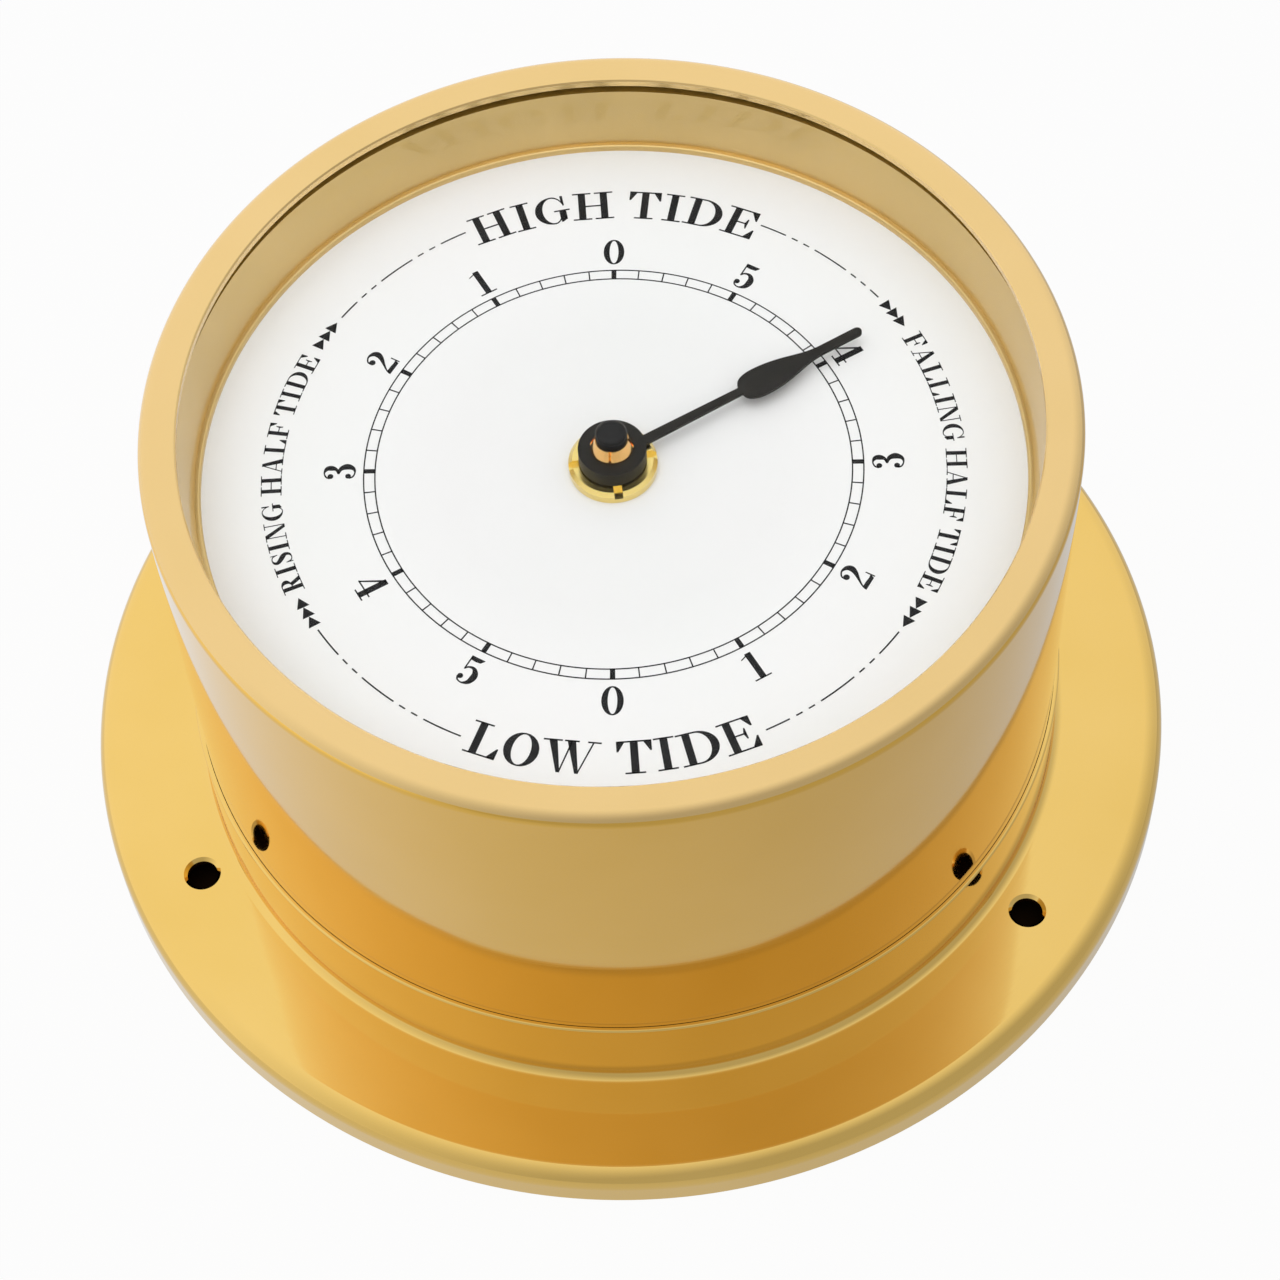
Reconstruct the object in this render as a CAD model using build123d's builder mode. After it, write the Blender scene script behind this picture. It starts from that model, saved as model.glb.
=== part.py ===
from build123d import *
from math import acos, cos, pi, radians, sin, tan
import os

# A tide clock in a polished brass case, in millimetres.
# The origin is the centre of the flange's back, on the wall. +Z runs out through the dial,
# and +Y is the dial's high tide mark.

os.makedirs("parts", exist_ok=True)

# Clearances and overrun
overrun = 1.0
fit_gap = 0.1
seat_gap = 0.05
running_gap = 0.05
end_float = 0.3

# Brass flange, pressed from sheet, with a neck that holds the case
flange_width = 15.35
flange_height = 5.6
flange_sheet = 1.2
flange_slope = 0.0
rim_round = 2.4
neck_height = 18.3
neck_sheet = 0.6
neck_fillet = 1.2
neck_edge = 0.25
hole_neck_distance = 5.35
hole_count = 3
hole_radius = 2.1
hole_chamfer = 0.45
hole_turn = 4.0

# Brass case with an inward lip at the front
case_radius = 59.0
case_height = 72.0
case_wall = 1.8
bezel_width = 4.9
lip_thickness = 1.0
front_round = 1.5
opening_edge = 0.2

# Glass, its gasket and the brass ring between glass and dial
gasket_thickness = 0.4
gasket_width = 2.6
glass_thickness = 1.8
glass_chamfer = 0.2
rehaut_height = 9.5
rehaut_set_back = 0.7
rehaut_taper = 1.4
bead_width = 0.75
bead_height = 0.9
bead_round = 0.35

# Dial and the tube that holds it up
dial_thickness = 0.8
sleeve_wall = 1.8

# Ring and cover at the back
back_recess = 1.8
back_cover_thickness = 2.0
back_cover_rim = 1.2
back_cover_rim_width = 1.6
finger_notch_radius = 7.0
ring_thickness = 4.0
ring_width = 6.6
ring_slot_width = 3.0
ring_slot_depth = 1.6
cover_screw_count = 4
cover_screw_turn = 45.0
cover_screw_radius = 1.25
cover_screw_head_radius = 2.4
cover_screw_head_height = 1.1
cover_screw_length = 5.2
screw_slot_width = 0.6
screw_slot_depth = 0.5

# Movement housing
movement_corner = 3.0
gear_room_gap = 0.36
housing_front = 1.4
housing_wall = 1.4
partition_wall = 1.2
battery_side_gap = 0.5
battery_back_gap = 0.1
contact_room = 1.35
movement_cover_thickness = 1.2
pillar_radius = 2.0
pillar_shoulder = 0.9
pillar_inset = 2.6
post_radius = 1.3
middle_plate_thickness = 1.0
plate_coil_gap = 1.3

# Screws of the movement's rear cover
case_screw_radius = 0.75
case_screw_head_radius = 1.8
case_screw_head_height = 1.0
case_screw_length = 8.0

# Centre fixing: threaded bushing, rubber washer and slotted nut
bushing_radius = 4.0
bushing_bore = 2.5
bushing_collar_radius = 6.0
bushing_collar_height = 0.9
bushing_lead = 0.4
washer_radius = 9.0
washer_thickness = 0.8
nut_radius = 5.7
nut_height = 1.6
nut_chamfer = 0.5
nut_slot_count = 4
nut_slot_width = 1.1
nut_slot_depth = 0.8
nut_slot_length = 1.5
nut_turn = 8.0
nut_below_bushing = 0.15

# Hand with its hub, collet and cap
hand_azimuth = 59.0
hand_length = 37.6
hand_sheet = 0.5
hand_hub_radius = 4.35
hand_hub_height = 2.2
stem_width = 1.45
stem_end_width = 1.05
bulb_length = 12.3
bulb_shoulder = 2.8
bulb_width = 4.25
tip_length = 6.1
tip_width = 1.25
pipe_stub_radius = 1.75
pipe_stub_height = 2.6
collet_base_radius = 2.75
collet_top_radius = 2.15
collet_height = 1.9
collet_slot_count = 4
collet_slot_width = 0.35
collet_turn = 85.0
cap_radius = 2.05
cap_height = 1.7
cap_round = 0.7

# Gear teeth: involute flanks, thinned for backlash
pressure_angle = radians(25)
addendum_share = 0.8
dedendum_share = 1.05
flank_shares = (0.0, 0.3, 0.55, 0.78, 1.0)
tooth_thinning = 0.05

# Tide gearing, 12.42 turns of the centre arbor to one of the hand
gear_centre_distance = 11.0
tide_teeth = 40
motion_pinion_teeth = 11
motion_teeth = 41
centre_pinion_teeth = 12
setting_teeth = 20
motion_direction = 50.0
setting_direction = 20.0
wheel_thickness = 1.2
tide_hub_radius = 3.6
motion_pin_radius = 1.0
arbor_radius = 0.75

# Fast train from the motor
train_module = 0.3
train_pinion_teeth = 8
clutch_teeth = 64
third_teeth = 50
step_teeth = 48
third_direction = 175.0
step_direction = 100.0
rotor_direction = 165.0
clutch_thickness = 0.8
train_thickness = 0.6
train_drop = 0.8
step_drop = 1.6
train_arbor_radius = 0.5
train_hub_radius = 2.0
pivot_depth = 0.7
rotor_radius = 1.9
rotor_height = 2.0
rotor_gap = 0.4
rotor_pinion_overlap = 0.3
magnet_drop = 0.5

# Motor: stator plate, coil core, bobbin and winding
stator_thickness = 0.6
stator_leg_width = 4.0
stator_eye_radius = 4.2
core_thickness = 0.6
core_width = 3.0
core_overhang = 2.6
coil_left_gap = 3.6
coil_rotor_distance = 10.5
coil_length = 22.0
coil_radius = 3.9
bobbin_flange_radius = 4.3
bobbin_flange = 0.8
bobbin_wall = 0.6

# Setting arbor and knob
setting_shaft_radius = 1.2
setting_boss_radius = 2.5
setting_boss_gap = 0.4
setting_end_gap = 0.5
knob_radius = 5.0
knob_height = 2.6
knob_gap = 0.4
knob_flute_count = 18
knob_flute_radius = 0.45
knob_shaft_grip = 1.9

# Battery and its contacts
battery_radius = 7.1
battery_length = 50.5
battery_nub_radius = 2.75
battery_nub_length = 1.2
battery_edge = 0.6
contact_thickness = 0.4
contact_width = 9.0
contact_height = 11.0
contact_button_radius = 2.2
contact_gap = 0.05

# Circuit board, chip and quartz crystal
board_width = 13.0
board_thickness = 0.8
board_centre_gap = 3.0
board_pillar_gap = 1.0
board_low_gap = 0.6
chip_radius = 3.0
chip_height = 1.1
crystal_radius = 1.0
crystal_length = 6.0

# Heights, stacked down from the case's lip
lip_under = case_height - lip_thickness
glass_top = lip_under - gasket_thickness
glass_under = glass_top - glass_thickness
dial_top = glass_under - rehaut_height
dial_under = dial_top - dial_thickness
housing_top = dial_under - washer_thickness
housing_inner = housing_top - housing_front
housing_foot = housing_inner - end_float - 2 * battery_radius - battery_back_gap
cover_inner = housing_foot + movement_cover_thickness
ring_foot = back_recess + back_cover_thickness
ring_top = ring_foot + ring_thickness

# Heights above the dial
nut_top = dial_top + nut_height
bushing_top = nut_top - nut_below_bushing
hand_low = nut_top + end_float
hub_top = hand_low + hand_hub_height
collet_top = hub_top + collet_height
cap_top = collet_top + cap_height
stub_top = hub_top + pipe_stub_height

# Heights of the wheels, stacked down from the housing's front
tide_top = housing_inner - end_float
tide_low = tide_top - wheel_thickness
motion_top = tide_low - 2 * end_float
motion_low = motion_top - wheel_thickness
plate_top = motion_low - end_float
plate_low = plate_top - middle_plate_thickness
clutch_top = plate_low - end_float
clutch_low = clutch_top - clutch_thickness
third_top = clutch_low - train_drop
third_low = third_top - train_thickness
step_top = third_low - step_drop
step_low = step_top - train_thickness
magnet_low = step_top + magnet_drop
magnet_top = magnet_low + rotor_height
stator_low = (magnet_low + magnet_top - stator_thickness) / 2
stator_top = stator_low + stator_thickness
core_top = stator_top + core_thickness
coil_height = (stator_top + core_top) / 2

# Radii inside the case
case_inner = case_radius - case_wall
stack_radius = case_inner - fit_gap
neck_radius = case_radius + seat_gap + neck_sheet
ring_inner = stack_radius - ring_width
cover_screw_circle = stack_radius - ring_width / 2
opening_radius = case_radius - bezel_width
flange_radius = neck_radius + flange_width
hole_circle_radius = neck_radius + hole_neck_distance

# The flange's top rises from its rounded rim to the neck
slope = radians(flange_slope)
rim_middle = (flange_radius - rim_round, flange_height - rim_round)
rim_top = (rim_middle[0] + rim_round * sin(slope), rim_middle[1] + rim_round * cos(slope))
under_round = rim_round - flange_sheet
rim_under = (rim_middle[0] + under_round * sin(slope), rim_middle[1] + under_round * cos(slope))
foot_radius = neck_radius + neck_fillet * (1 - sin(slope))
foot_height = rim_top[1] + (rim_top[0] - foot_radius) * tan(slope)
fillet_height = foot_height + neck_fillet * cos(slope)
neck_under = rim_under[1] + (rim_under[0] - neck_radius + neck_sheet) * tan(slope)
hole_rise = (hole_radius + 2 * hole_chamfer) * tan(slope)
hole_height = rim_top[1] + (rim_top[0] - hole_circle_radius) * tan(slope) + hole_rise


def beside(place, distance, direction):
    """The point at a distance from a place, in a direction in degrees from +X."""
    angle = radians(direction)
    return (place[0] + distance * cos(angle), place[1] + distance * sin(angle))


# Gear modules and places
centre_place = (0.0, 0.0)
motion_module = 2 * gear_centre_distance / (motion_teeth + centre_pinion_teeth)
tide_module = 2 * gear_centre_distance / (tide_teeth + motion_pinion_teeth)
setting_distance = motion_module * (motion_teeth + setting_teeth) / 2
clutch_distance = train_module * (clutch_teeth + train_pinion_teeth) / 2
third_distance = train_module * (third_teeth + train_pinion_teeth) / 2
step_distance = train_module * (step_teeth + train_pinion_teeth) / 2
motion_place = beside(centre_place, gear_centre_distance, motion_direction)
setting_place = beside(motion_place, setting_distance, setting_direction)
third_place = beside(centre_place, clutch_distance, third_direction)
step_place = beside(third_place, third_distance, step_direction)
rotor_place = beside(step_place, step_distance, rotor_direction)
train_places = (third_place, step_place, rotor_place)

# Plan of the movement
inner_side = battery_length + 2 * contact_room
battery_bay_width = 2 * (battery_radius + battery_side_gap)
clutch_tip_radius = train_module * (clutch_teeth / 2 + addendum_share)
coil_side = rotor_place[1] + coil_rotor_distance
room_low = -clutch_tip_radius - gear_room_gap
room_high = coil_side + bobbin_flange_radius + fit_gap
bay_low = room_low - partition_wall - battery_bay_width
bay_middle = bay_low + battery_bay_width / 2
movement_width = inner_side + 2 * housing_wall
movement_height = room_high - bay_low + 2 * housing_wall
movement_middle = (room_high + bay_low) / 2
room_width = room_high - room_low
room_middle = (room_high + room_low) / 2
plate_high = coil_side - bobbin_flange_radius - plate_coil_gap
pillar_side = inner_side / 2 - pillar_inset
pillar_low = room_low + pillar_inset
pillar_high = room_high - pillar_inset
post_places = (
    (-inner_side / 2 + post_radius + fit_gap, plate_high - 2 * post_radius),
    (inner_side / 2 - post_radius - fit_gap, room_middle - 4 * post_radius),
)
pillar_places = (
    (-pillar_side, pillar_low),
    (pillar_side, pillar_low),
    (pillar_side, pillar_high),
)
plate_pillar_places = pillar_places[:2]


def meshed_turn(driver_turn, driver_teeth, teeth, direction):
    """The turn of a gear whose teeth stand in the gaps of a driver, seen from the driver."""
    toward = radians(direction)
    return toward + pi - (driver_turn - toward) * driver_teeth / teeth + pi / teeth


# Turn of one tooth's middle on each gear, in radians from +X
tide_turn = radians(motion_direction)
motion_pinion_turn = meshed_turn(tide_turn, tide_teeth, motion_pinion_teeth, motion_direction)
centre_pinion_turn = radians(motion_direction)
motion_turn = meshed_turn(centre_pinion_turn, centre_pinion_teeth, motion_teeth, motion_direction)
setting_turn = meshed_turn(motion_turn, motion_teeth, setting_teeth, setting_direction)
clutch_turn = radians(third_direction)
third_pinion_turn = meshed_turn(clutch_turn, clutch_teeth, train_pinion_teeth, third_direction)
third_turn = radians(step_direction)
step_pinion_turn = meshed_turn(third_turn, third_teeth, train_pinion_teeth, step_direction)
step_turn = radians(rotor_direction)
rotor_pinion_turn = meshed_turn(step_turn, step_teeth, train_pinion_teeth, rotor_direction)


def roll_angle(radius, base_radius):
    """The involute's angle at a radius, and zero below the base circle."""
    angle = acos(min(1, base_radius / radius))
    return tan(angle) - angle


def draw_gear(teeth, module, centre, turn):
    """Draw a gear's outline in the open sketch, with the middle of one tooth at its turn."""
    pitch_radius = teeth * module / 2
    base_radius = pitch_radius * cos(pressure_angle)
    tip_radius = pitch_radius + addendum_share * module
    root_radius = pitch_radius - dedendum_share * module
    half_tooth = pi / (2 * teeth) - tooth_thinning / (2 * pitch_radius)
    flank = []
    for share in flank_shares:
        radius = root_radius + share * (tip_radius - root_radius)
        lean = half_tooth + roll_angle(pitch_radius, base_radius) - roll_angle(radius, base_radius)
        flank.append((radius, lean))
    outline = []
    for tooth in range(teeth):
        middle = turn + 2 * pi * tooth / teeth
        for radius, lean in flank:
            angle = middle - lean
            outline.append((centre[0] + radius * cos(angle), centre[1] + radius * sin(angle)))
        for radius, lean in reversed(flank):
            angle = middle + lean
            outline.append((centre[0] + radius * cos(angle), centre[1] + radius * sin(angle)))
    Polygon(*outline, align=None)


def finish(piece, name):
    """Label a finished piece and write it under its node's name."""
    piece.part.label = name
    export_step(piece.part, f"parts/{name}.step")


# Mounting flange: a pressed brass pan with a neck, turned about the clock's axis
with BuildPart() as mounting_flange:
    with BuildSketch(Plane.XZ):
        with BuildLine():
            Line((flange_radius, 0), (flange_radius, flange_height - rim_round))
            TangentArc((flange_radius, flange_height - rim_round), rim_top, tangent=(0, 1))
            Line(rim_top, (foot_radius, foot_height))
            TangentArc(
                (foot_radius, foot_height),
                (neck_radius, fillet_height),
                tangent=(-cos(slope), sin(slope)),
            )
            Polyline(
                (neck_radius, fillet_height),
                (neck_radius, neck_height - neck_edge),
                (neck_radius - neck_edge, neck_height),
                (neck_radius - neck_sheet, neck_height),
                (neck_radius - neck_sheet, neck_under),
                rim_under,
            )
            TangentArc(
                rim_under,
                (flange_radius - flange_sheet, flange_height - rim_round),
                tangent=(cos(slope), -sin(slope)),
            )
            Polyline(
                (flange_radius - flange_sheet, flange_height - rim_round),
                (flange_radius - flange_sheet, 0),
                (flange_radius, 0),
            )
        make_face()
    revolve(axis=Axis.Z)
    with Locations((0, 0, hole_height)):
        with PolarLocations(hole_circle_radius, hole_count, start_angle=90 - hole_turn):
            CounterSinkHole(
                radius=hole_radius,
                counter_sink_radius=hole_radius + hole_chamfer + hole_rise,
                depth=flange_sheet + 2 * hole_rise + overrun,
                counter_sink_angle=90,
            )
finish(mounting_flange, "mounting_flange")

# Case shell: a straight tube with a lip over the glass
with BuildPart() as case_shell:
    with BuildSketch(Plane.XZ):
        with BuildLine():
            Line((case_radius, 0), (case_radius, case_height - front_round))
            TangentArc(
                (case_radius, case_height - front_round),
                (case_radius - front_round, case_height),
                tangent=(0, 1),
            )
            Polyline(
                (case_radius - front_round, case_height),
                (opening_radius + opening_edge, case_height),
                (opening_radius, case_height - opening_edge),
                (opening_radius, lip_under),
                (case_inner, lip_under),
                (case_inner, 0),
                (case_radius, 0),
            )
        make_face()
    revolve(axis=Axis.Z)
finish(case_shell, "case_shell")

# Gasket ring between the lip and the glass
with BuildPart() as glass_gasket:
    with BuildSketch(Plane.XY.offset(glass_top)):
        Circle(stack_radius)
        Circle(stack_radius - gasket_width, mode=Mode.SUBTRACT)
    extrude(amount=gasket_thickness)
finish(glass_gasket, "glass_gasket")

# Flat mineral glass with broken edges
with BuildPart() as glass:
    with BuildSketch(Plane.XY.offset(glass_under)):
        Circle(stack_radius)
    extrude(amount=glass_thickness)
    chamfer(glass.edges(), length=glass_chamfer)
finish(glass, "glass")

# Brass ring between the glass and the dial, tapered inwards to a bead
with BuildPart() as rehaut_ring:
    with BuildSketch(Plane.XZ):
        wall_top = opening_radius + rehaut_set_back
        wall_foot = wall_top - rehaut_taper
        bead_radius = wall_foot - bead_width
        with BuildLine():
            Polyline(
                (bead_radius, dial_top),
                (stack_radius, dial_top),
                (stack_radius, glass_under),
                (wall_top, glass_under),
                (wall_foot, dial_top + bead_height),
                (bead_radius + bead_round, dial_top + bead_height),
            )
            TangentArc(
                (bead_radius + bead_round, dial_top + bead_height),
                (bead_radius, dial_top + bead_height - bead_round),
                tangent=(-1, 0),
            )
            Line((bead_radius, dial_top + bead_height - bead_round), (bead_radius, dial_top))
        make_face()
    revolve(axis=Axis.Z)
finish(rehaut_ring, "rehaut_ring")

# Dial plate with a hole for the bushing
with BuildPart() as dial_plate:
    with BuildSketch(Plane.XY.offset(dial_under)):
        Circle(stack_radius)
        Circle(bushing_radius + fit_gap, mode=Mode.SUBTRACT)
    extrude(amount=dial_thickness)
finish(dial_plate, "dial_plate")

# Plastic tube that carries the dial from the back
with BuildPart() as support_sleeve:
    with BuildSketch(Plane.XY.offset(ring_top)):
        Circle(stack_radius)
        Circle(stack_radius - sleeve_wall, mode=Mode.SUBTRACT)
    extrude(amount=dial_under - ring_top)
finish(support_sleeve, "support_sleeve")

# Threaded ring that clamps the stack, with spanner slots and tapped holes
with BuildPart() as retaining_ring:
    with BuildSketch(Plane.XY.offset(ring_foot)):
        Circle(stack_radius)
        Circle(ring_inner, mode=Mode.SUBTRACT)
        with PolarLocations(cover_screw_circle, cover_screw_count, start_angle=cover_screw_turn):
            Circle(cover_screw_radius + seat_gap, mode=Mode.SUBTRACT)
    extrude(amount=ring_thickness)
    with BuildSketch(Plane.XY.offset(ring_foot)):
        with PolarLocations(ring_inner + ring_width / 2, 2):
            Rectangle(ring_width + overrun, ring_slot_width)
    extrude(amount=ring_slot_depth, mode=Mode.SUBTRACT)
finish(retaining_ring, "retaining_ring")

# Plastic back cover with a raised rim and a notch to lift it by
with BuildPart() as back_cover:
    with BuildSketch(Plane.XY.offset(back_recess)):
        Circle(stack_radius)
        with Locations((0, -stack_radius)):
            Circle(finger_notch_radius, mode=Mode.SUBTRACT)
    extrude(amount=back_cover_thickness)
    with BuildSketch(Plane.XY.offset(back_recess)):
        Circle(stack_radius)
        Circle(stack_radius - back_cover_rim_width, mode=Mode.SUBTRACT)
        with Locations((0, -stack_radius)):
            Circle(finger_notch_radius, mode=Mode.SUBTRACT)
    extrude(amount=-back_cover_rim)
    with Locations(Plane.XY.offset(back_recess).rotated((180, 0, 0))):
        with PolarLocations(cover_screw_circle, cover_screw_count, start_angle=cover_screw_turn):
            CounterSinkHole(
                radius=cover_screw_radius + fit_gap,
                counter_sink_radius=cover_screw_head_radius + fit_gap,
                depth=back_cover_thickness + overrun,
                counter_sink_angle=90,
            )
finish(back_cover, "back_cover")

# Countersunk screws of the back cover
with BuildPart() as cover_screw:
    with BuildSketch(Plane.XZ):
        with BuildLine():
            Polyline(
                (0, back_recess),
                (cover_screw_head_radius, back_recess),
                (cover_screw_radius, back_recess + cover_screw_head_height),
                (cover_screw_radius, back_recess + cover_screw_length),
                (0, back_recess + cover_screw_length),
                close=True,
            )
        make_face()
    revolve(axis=Axis.Z)
    with BuildSketch(Plane.XY.offset(back_recess)):
        Rectangle(2 * cover_screw_head_radius + overrun, screw_slot_width)
    extrude(amount=screw_slot_depth, mode=Mode.SUBTRACT)
with BuildPart() as back_cover_screws:
    with PolarLocations(cover_screw_circle, cover_screw_count, start_angle=cover_screw_turn):
        add(cover_screw.part)
finish(back_cover_screws, "back_cover_screws")

# Movement housing: a box open at the back, with a gear room and a battery bay
with BuildPart() as movement_housing:
    with BuildSketch(Plane.XY.offset(housing_foot)):
        with Locations((0, movement_middle)):
            RectangleRounded(movement_width, movement_height, movement_corner)
    extrude(amount=housing_top - housing_foot)
    with BuildSketch(Plane.XY.offset(housing_foot)):
        with Locations((0, room_middle)):
            Rectangle(inner_side, room_width)
        with Locations((0, bay_middle)):
            Rectangle(inner_side, battery_bay_width)
    extrude(amount=housing_inner - housing_foot, mode=Mode.SUBTRACT)
    with BuildSketch(Plane.XY.offset(housing_inner)):
        with Locations(*pillar_places):
            Circle(pillar_radius + pillar_shoulder)
        with Locations(*post_places):
            Circle(post_radius)
    extrude(amount=plate_top - housing_inner)
    with BuildSketch(Plane.XY.offset(plate_top)):
        with Locations(*pillar_places):
            Circle(pillar_radius)
    extrude(amount=cover_inner - plate_top)
    with BuildSketch(Plane.XY.offset(cover_inner)):
        with Locations(*pillar_places):
            Circle(case_screw_radius + seat_gap)
    extrude(amount=case_screw_length, mode=Mode.SUBTRACT)
    with BuildSketch(Plane.XY.offset(housing_inner)):
        with Locations(motion_place):
            Circle(motion_pin_radius)
    extrude(amount=plate_top - housing_inner)
    with BuildSketch(Plane.XY.offset(housing_inner)):
        with Locations(setting_place):
            Circle(setting_boss_radius)
            Circle(setting_shaft_radius + running_gap, mode=Mode.SUBTRACT)
    extrude(amount=motion_top + setting_boss_gap - housing_inner)
    with BuildSketch(Plane.XY.offset(housing_inner)):
        Circle(bushing_collar_radius + seat_gap)
    extrude(amount=bushing_collar_height, mode=Mode.SUBTRACT)
    with BuildSketch(Plane.XY.offset(housing_inner)):
        Circle(bushing_radius + seat_gap)
    extrude(amount=housing_front + overrun, mode=Mode.SUBTRACT)
finish(movement_housing, "movement_housing")

# Rear cover of the gear room, with pivot holes for the arbors
with BuildPart() as movement_cover:
    with BuildSketch(Plane.XY.offset(housing_foot)):
        with Locations((0, room_middle)):
            Rectangle(inner_side - 2 * fit_gap, room_width - 2 * fit_gap)
        with Locations(*pillar_places):
            Circle(case_screw_radius + fit_gap, mode=Mode.SUBTRACT)
        with Locations(setting_place):
            Circle(setting_shaft_radius + running_gap, mode=Mode.SUBTRACT)
    extrude(amount=movement_cover_thickness)
    with BuildSketch(Plane.XY.offset(cover_inner)):
        Circle(arbor_radius + running_gap)
        with Locations(*train_places):
            Circle(train_arbor_radius + running_gap)
    extrude(amount=-pivot_depth - seat_gap, mode=Mode.SUBTRACT)
finish(movement_cover, "movement_cover")

# Screws of the rear cover
with BuildPart() as movement_screws:
    with BuildSketch(Plane.XY.offset(housing_foot)):
        with Locations(*pillar_places):
            Circle(case_screw_head_radius)
    extrude(amount=-case_screw_head_height)
    with BuildSketch(Plane.XY.offset(housing_foot)):
        with Locations(*pillar_places):
            Circle(case_screw_radius)
    extrude(amount=case_screw_length)
    with BuildSketch(Plane.XY.offset(housing_foot - case_screw_head_height)):
        with Locations(*pillar_places):
            Rectangle(2 * case_screw_head_radius + overrun, screw_slot_width)
    extrude(amount=screw_slot_depth, mode=Mode.SUBTRACT)
finish(movement_screws, "movement_screws")

# Middle plate between the tide gearing and the fast train
with BuildPart() as middle_plate:
    with BuildSketch(Plane.XY.offset(plate_low)):
        with Locations((0, (room_low + plate_high) / 2)):
            Rectangle(inner_side - 2 * fit_gap, plate_high - room_low - 2 * fit_gap)
        with Locations(*plate_pillar_places):
            Circle(pillar_radius + fit_gap, mode=Mode.SUBTRACT)
        with Locations(setting_place):
            Circle(setting_shaft_radius + running_gap, mode=Mode.SUBTRACT)
        Circle(arbor_radius + running_gap, mode=Mode.SUBTRACT)
        with Locations(*train_places):
            Circle(train_arbor_radius + running_gap, mode=Mode.SUBTRACT)
    extrude(amount=middle_plate_thickness)
finish(middle_plate, "middle_plate")

# Threaded bushing through the dial, with a collar inside the housing
with BuildPart() as threaded_bushing:
    with BuildSketch(Plane.XY.offset(housing_inner)):
        Circle(bushing_collar_radius)
    extrude(amount=bushing_collar_height)
    with BuildSketch(Plane.XY.offset(housing_inner)):
        Circle(bushing_radius)
    extrude(amount=bushing_top - housing_inner)
    chamfer(threaded_bushing.edges().group_by(Axis.Z)[-1], length=bushing_lead)
    with BuildSketch(Plane.XY.offset(housing_inner)):
        Circle(bushing_bore)
    extrude(amount=bushing_top - housing_inner, mode=Mode.SUBTRACT)
finish(threaded_bushing, "threaded_bushing")

# Rubber washer between the housing and the dial
with BuildPart() as rubber_washer:
    with BuildSketch(Plane.XY.offset(housing_top)):
        Circle(washer_radius)
        Circle(bushing_radius + fit_gap, mode=Mode.SUBTRACT)
    extrude(amount=washer_thickness)
finish(rubber_washer, "rubber_washer")

# Round brass nut that holds the movement to the dial, slotted for a spanner
with BuildPart() as dial_nut:
    with BuildSketch(Plane.XY.offset(dial_top)):
        Circle(nut_radius)
    extrude(amount=nut_height)
    chamfer(dial_nut.edges().group_by(Axis.Z)[-1], length=nut_chamfer)
    with BuildSketch(Plane.XY.offset(dial_top)):
        Circle(bushing_radius + seat_gap)
    extrude(amount=nut_height, mode=Mode.SUBTRACT)
    with BuildSketch(Plane.XY.offset(nut_top)):
        with PolarLocations(nut_radius, nut_slot_count, start_angle=nut_turn):
            Rectangle(2 * nut_slot_length, nut_slot_width)
    extrude(amount=-nut_slot_depth, mode=Mode.SUBTRACT)
finish(dial_nut, "dial_nut")

# Tide wheel with the pipe that carries the hand
with BuildPart() as tide_wheel:
    with BuildSketch(Plane.XY.offset(tide_low)):
        draw_gear(tide_teeth, tide_module, centre_place, tide_turn)
    extrude(amount=wheel_thickness)
    with BuildSketch(Plane.XY.offset(tide_top)):
        Circle(tide_hub_radius)
    extrude(amount=end_float - seat_gap)
    with BuildSketch(Plane.XY.offset(tide_top)):
        Circle(bushing_bore - running_gap)
    extrude(amount=hub_top - tide_top)
    with BuildSketch(Plane.XY.offset(hub_top)):
        Circle(pipe_stub_radius)
    extrude(amount=pipe_stub_height)
    with BuildSketch(Plane.XY.offset(tide_low)):
        Circle(arbor_radius + running_gap)
    extrude(amount=hand_low - tide_low, mode=Mode.SUBTRACT)
finish(tide_wheel, "tide_wheel")

# Tide hand: a hub, and a thin blade with a drop-shaped bulb
bulb_end = hand_length - tip_length
bulb_start = bulb_end - bulb_length
bulb_middle = bulb_start + bulb_shoulder
with BuildPart() as tide_hand:
    hand_plane = Plane((0, 0, hand_low), x_dir=beside((0, 0), 1, 90 - hand_azimuth) + (0,))
    with BuildSketch(hand_plane):
        with BuildLine():
            blade_start = Line((0, stem_width / 2), (bulb_start, stem_end_width / 2))
            bulb_back = Spline(
                blade_start @ 1,
                (bulb_middle, bulb_width / 2),
                tangents=((0, 1), (1, 0)),
                tangent_scalars=(1.1, 1.2),
            )
            bulb_front = Spline(
                bulb_back @ 1,
                (bulb_end, tip_width / 2),
                tangents=((1, 0), (1, 0)),
                tangent_scalars=(1.4, 1),
            )
            blade_end = Line(bulb_front @ 1, (hand_length - tip_width / 2, tip_width / 2))
            TangentArc(blade_end @ 1, (hand_length, 0), tangent=(1, 0))
            mirror(about=Plane.XZ)
            Line((0, stem_width / 2), (0, -stem_width / 2))
        make_face()
    extrude(amount=hand_sheet)
    with BuildSketch(Plane.XY.offset(hand_low)):
        Circle(hand_hub_radius)
    extrude(amount=hand_hub_height)
    with BuildSketch(Plane.XY.offset(hand_low)):
        Circle(bushing_bore - running_gap + seat_gap)
    extrude(amount=hand_hub_height, mode=Mode.SUBTRACT)
finish(tide_hand, "tide_hand")

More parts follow.
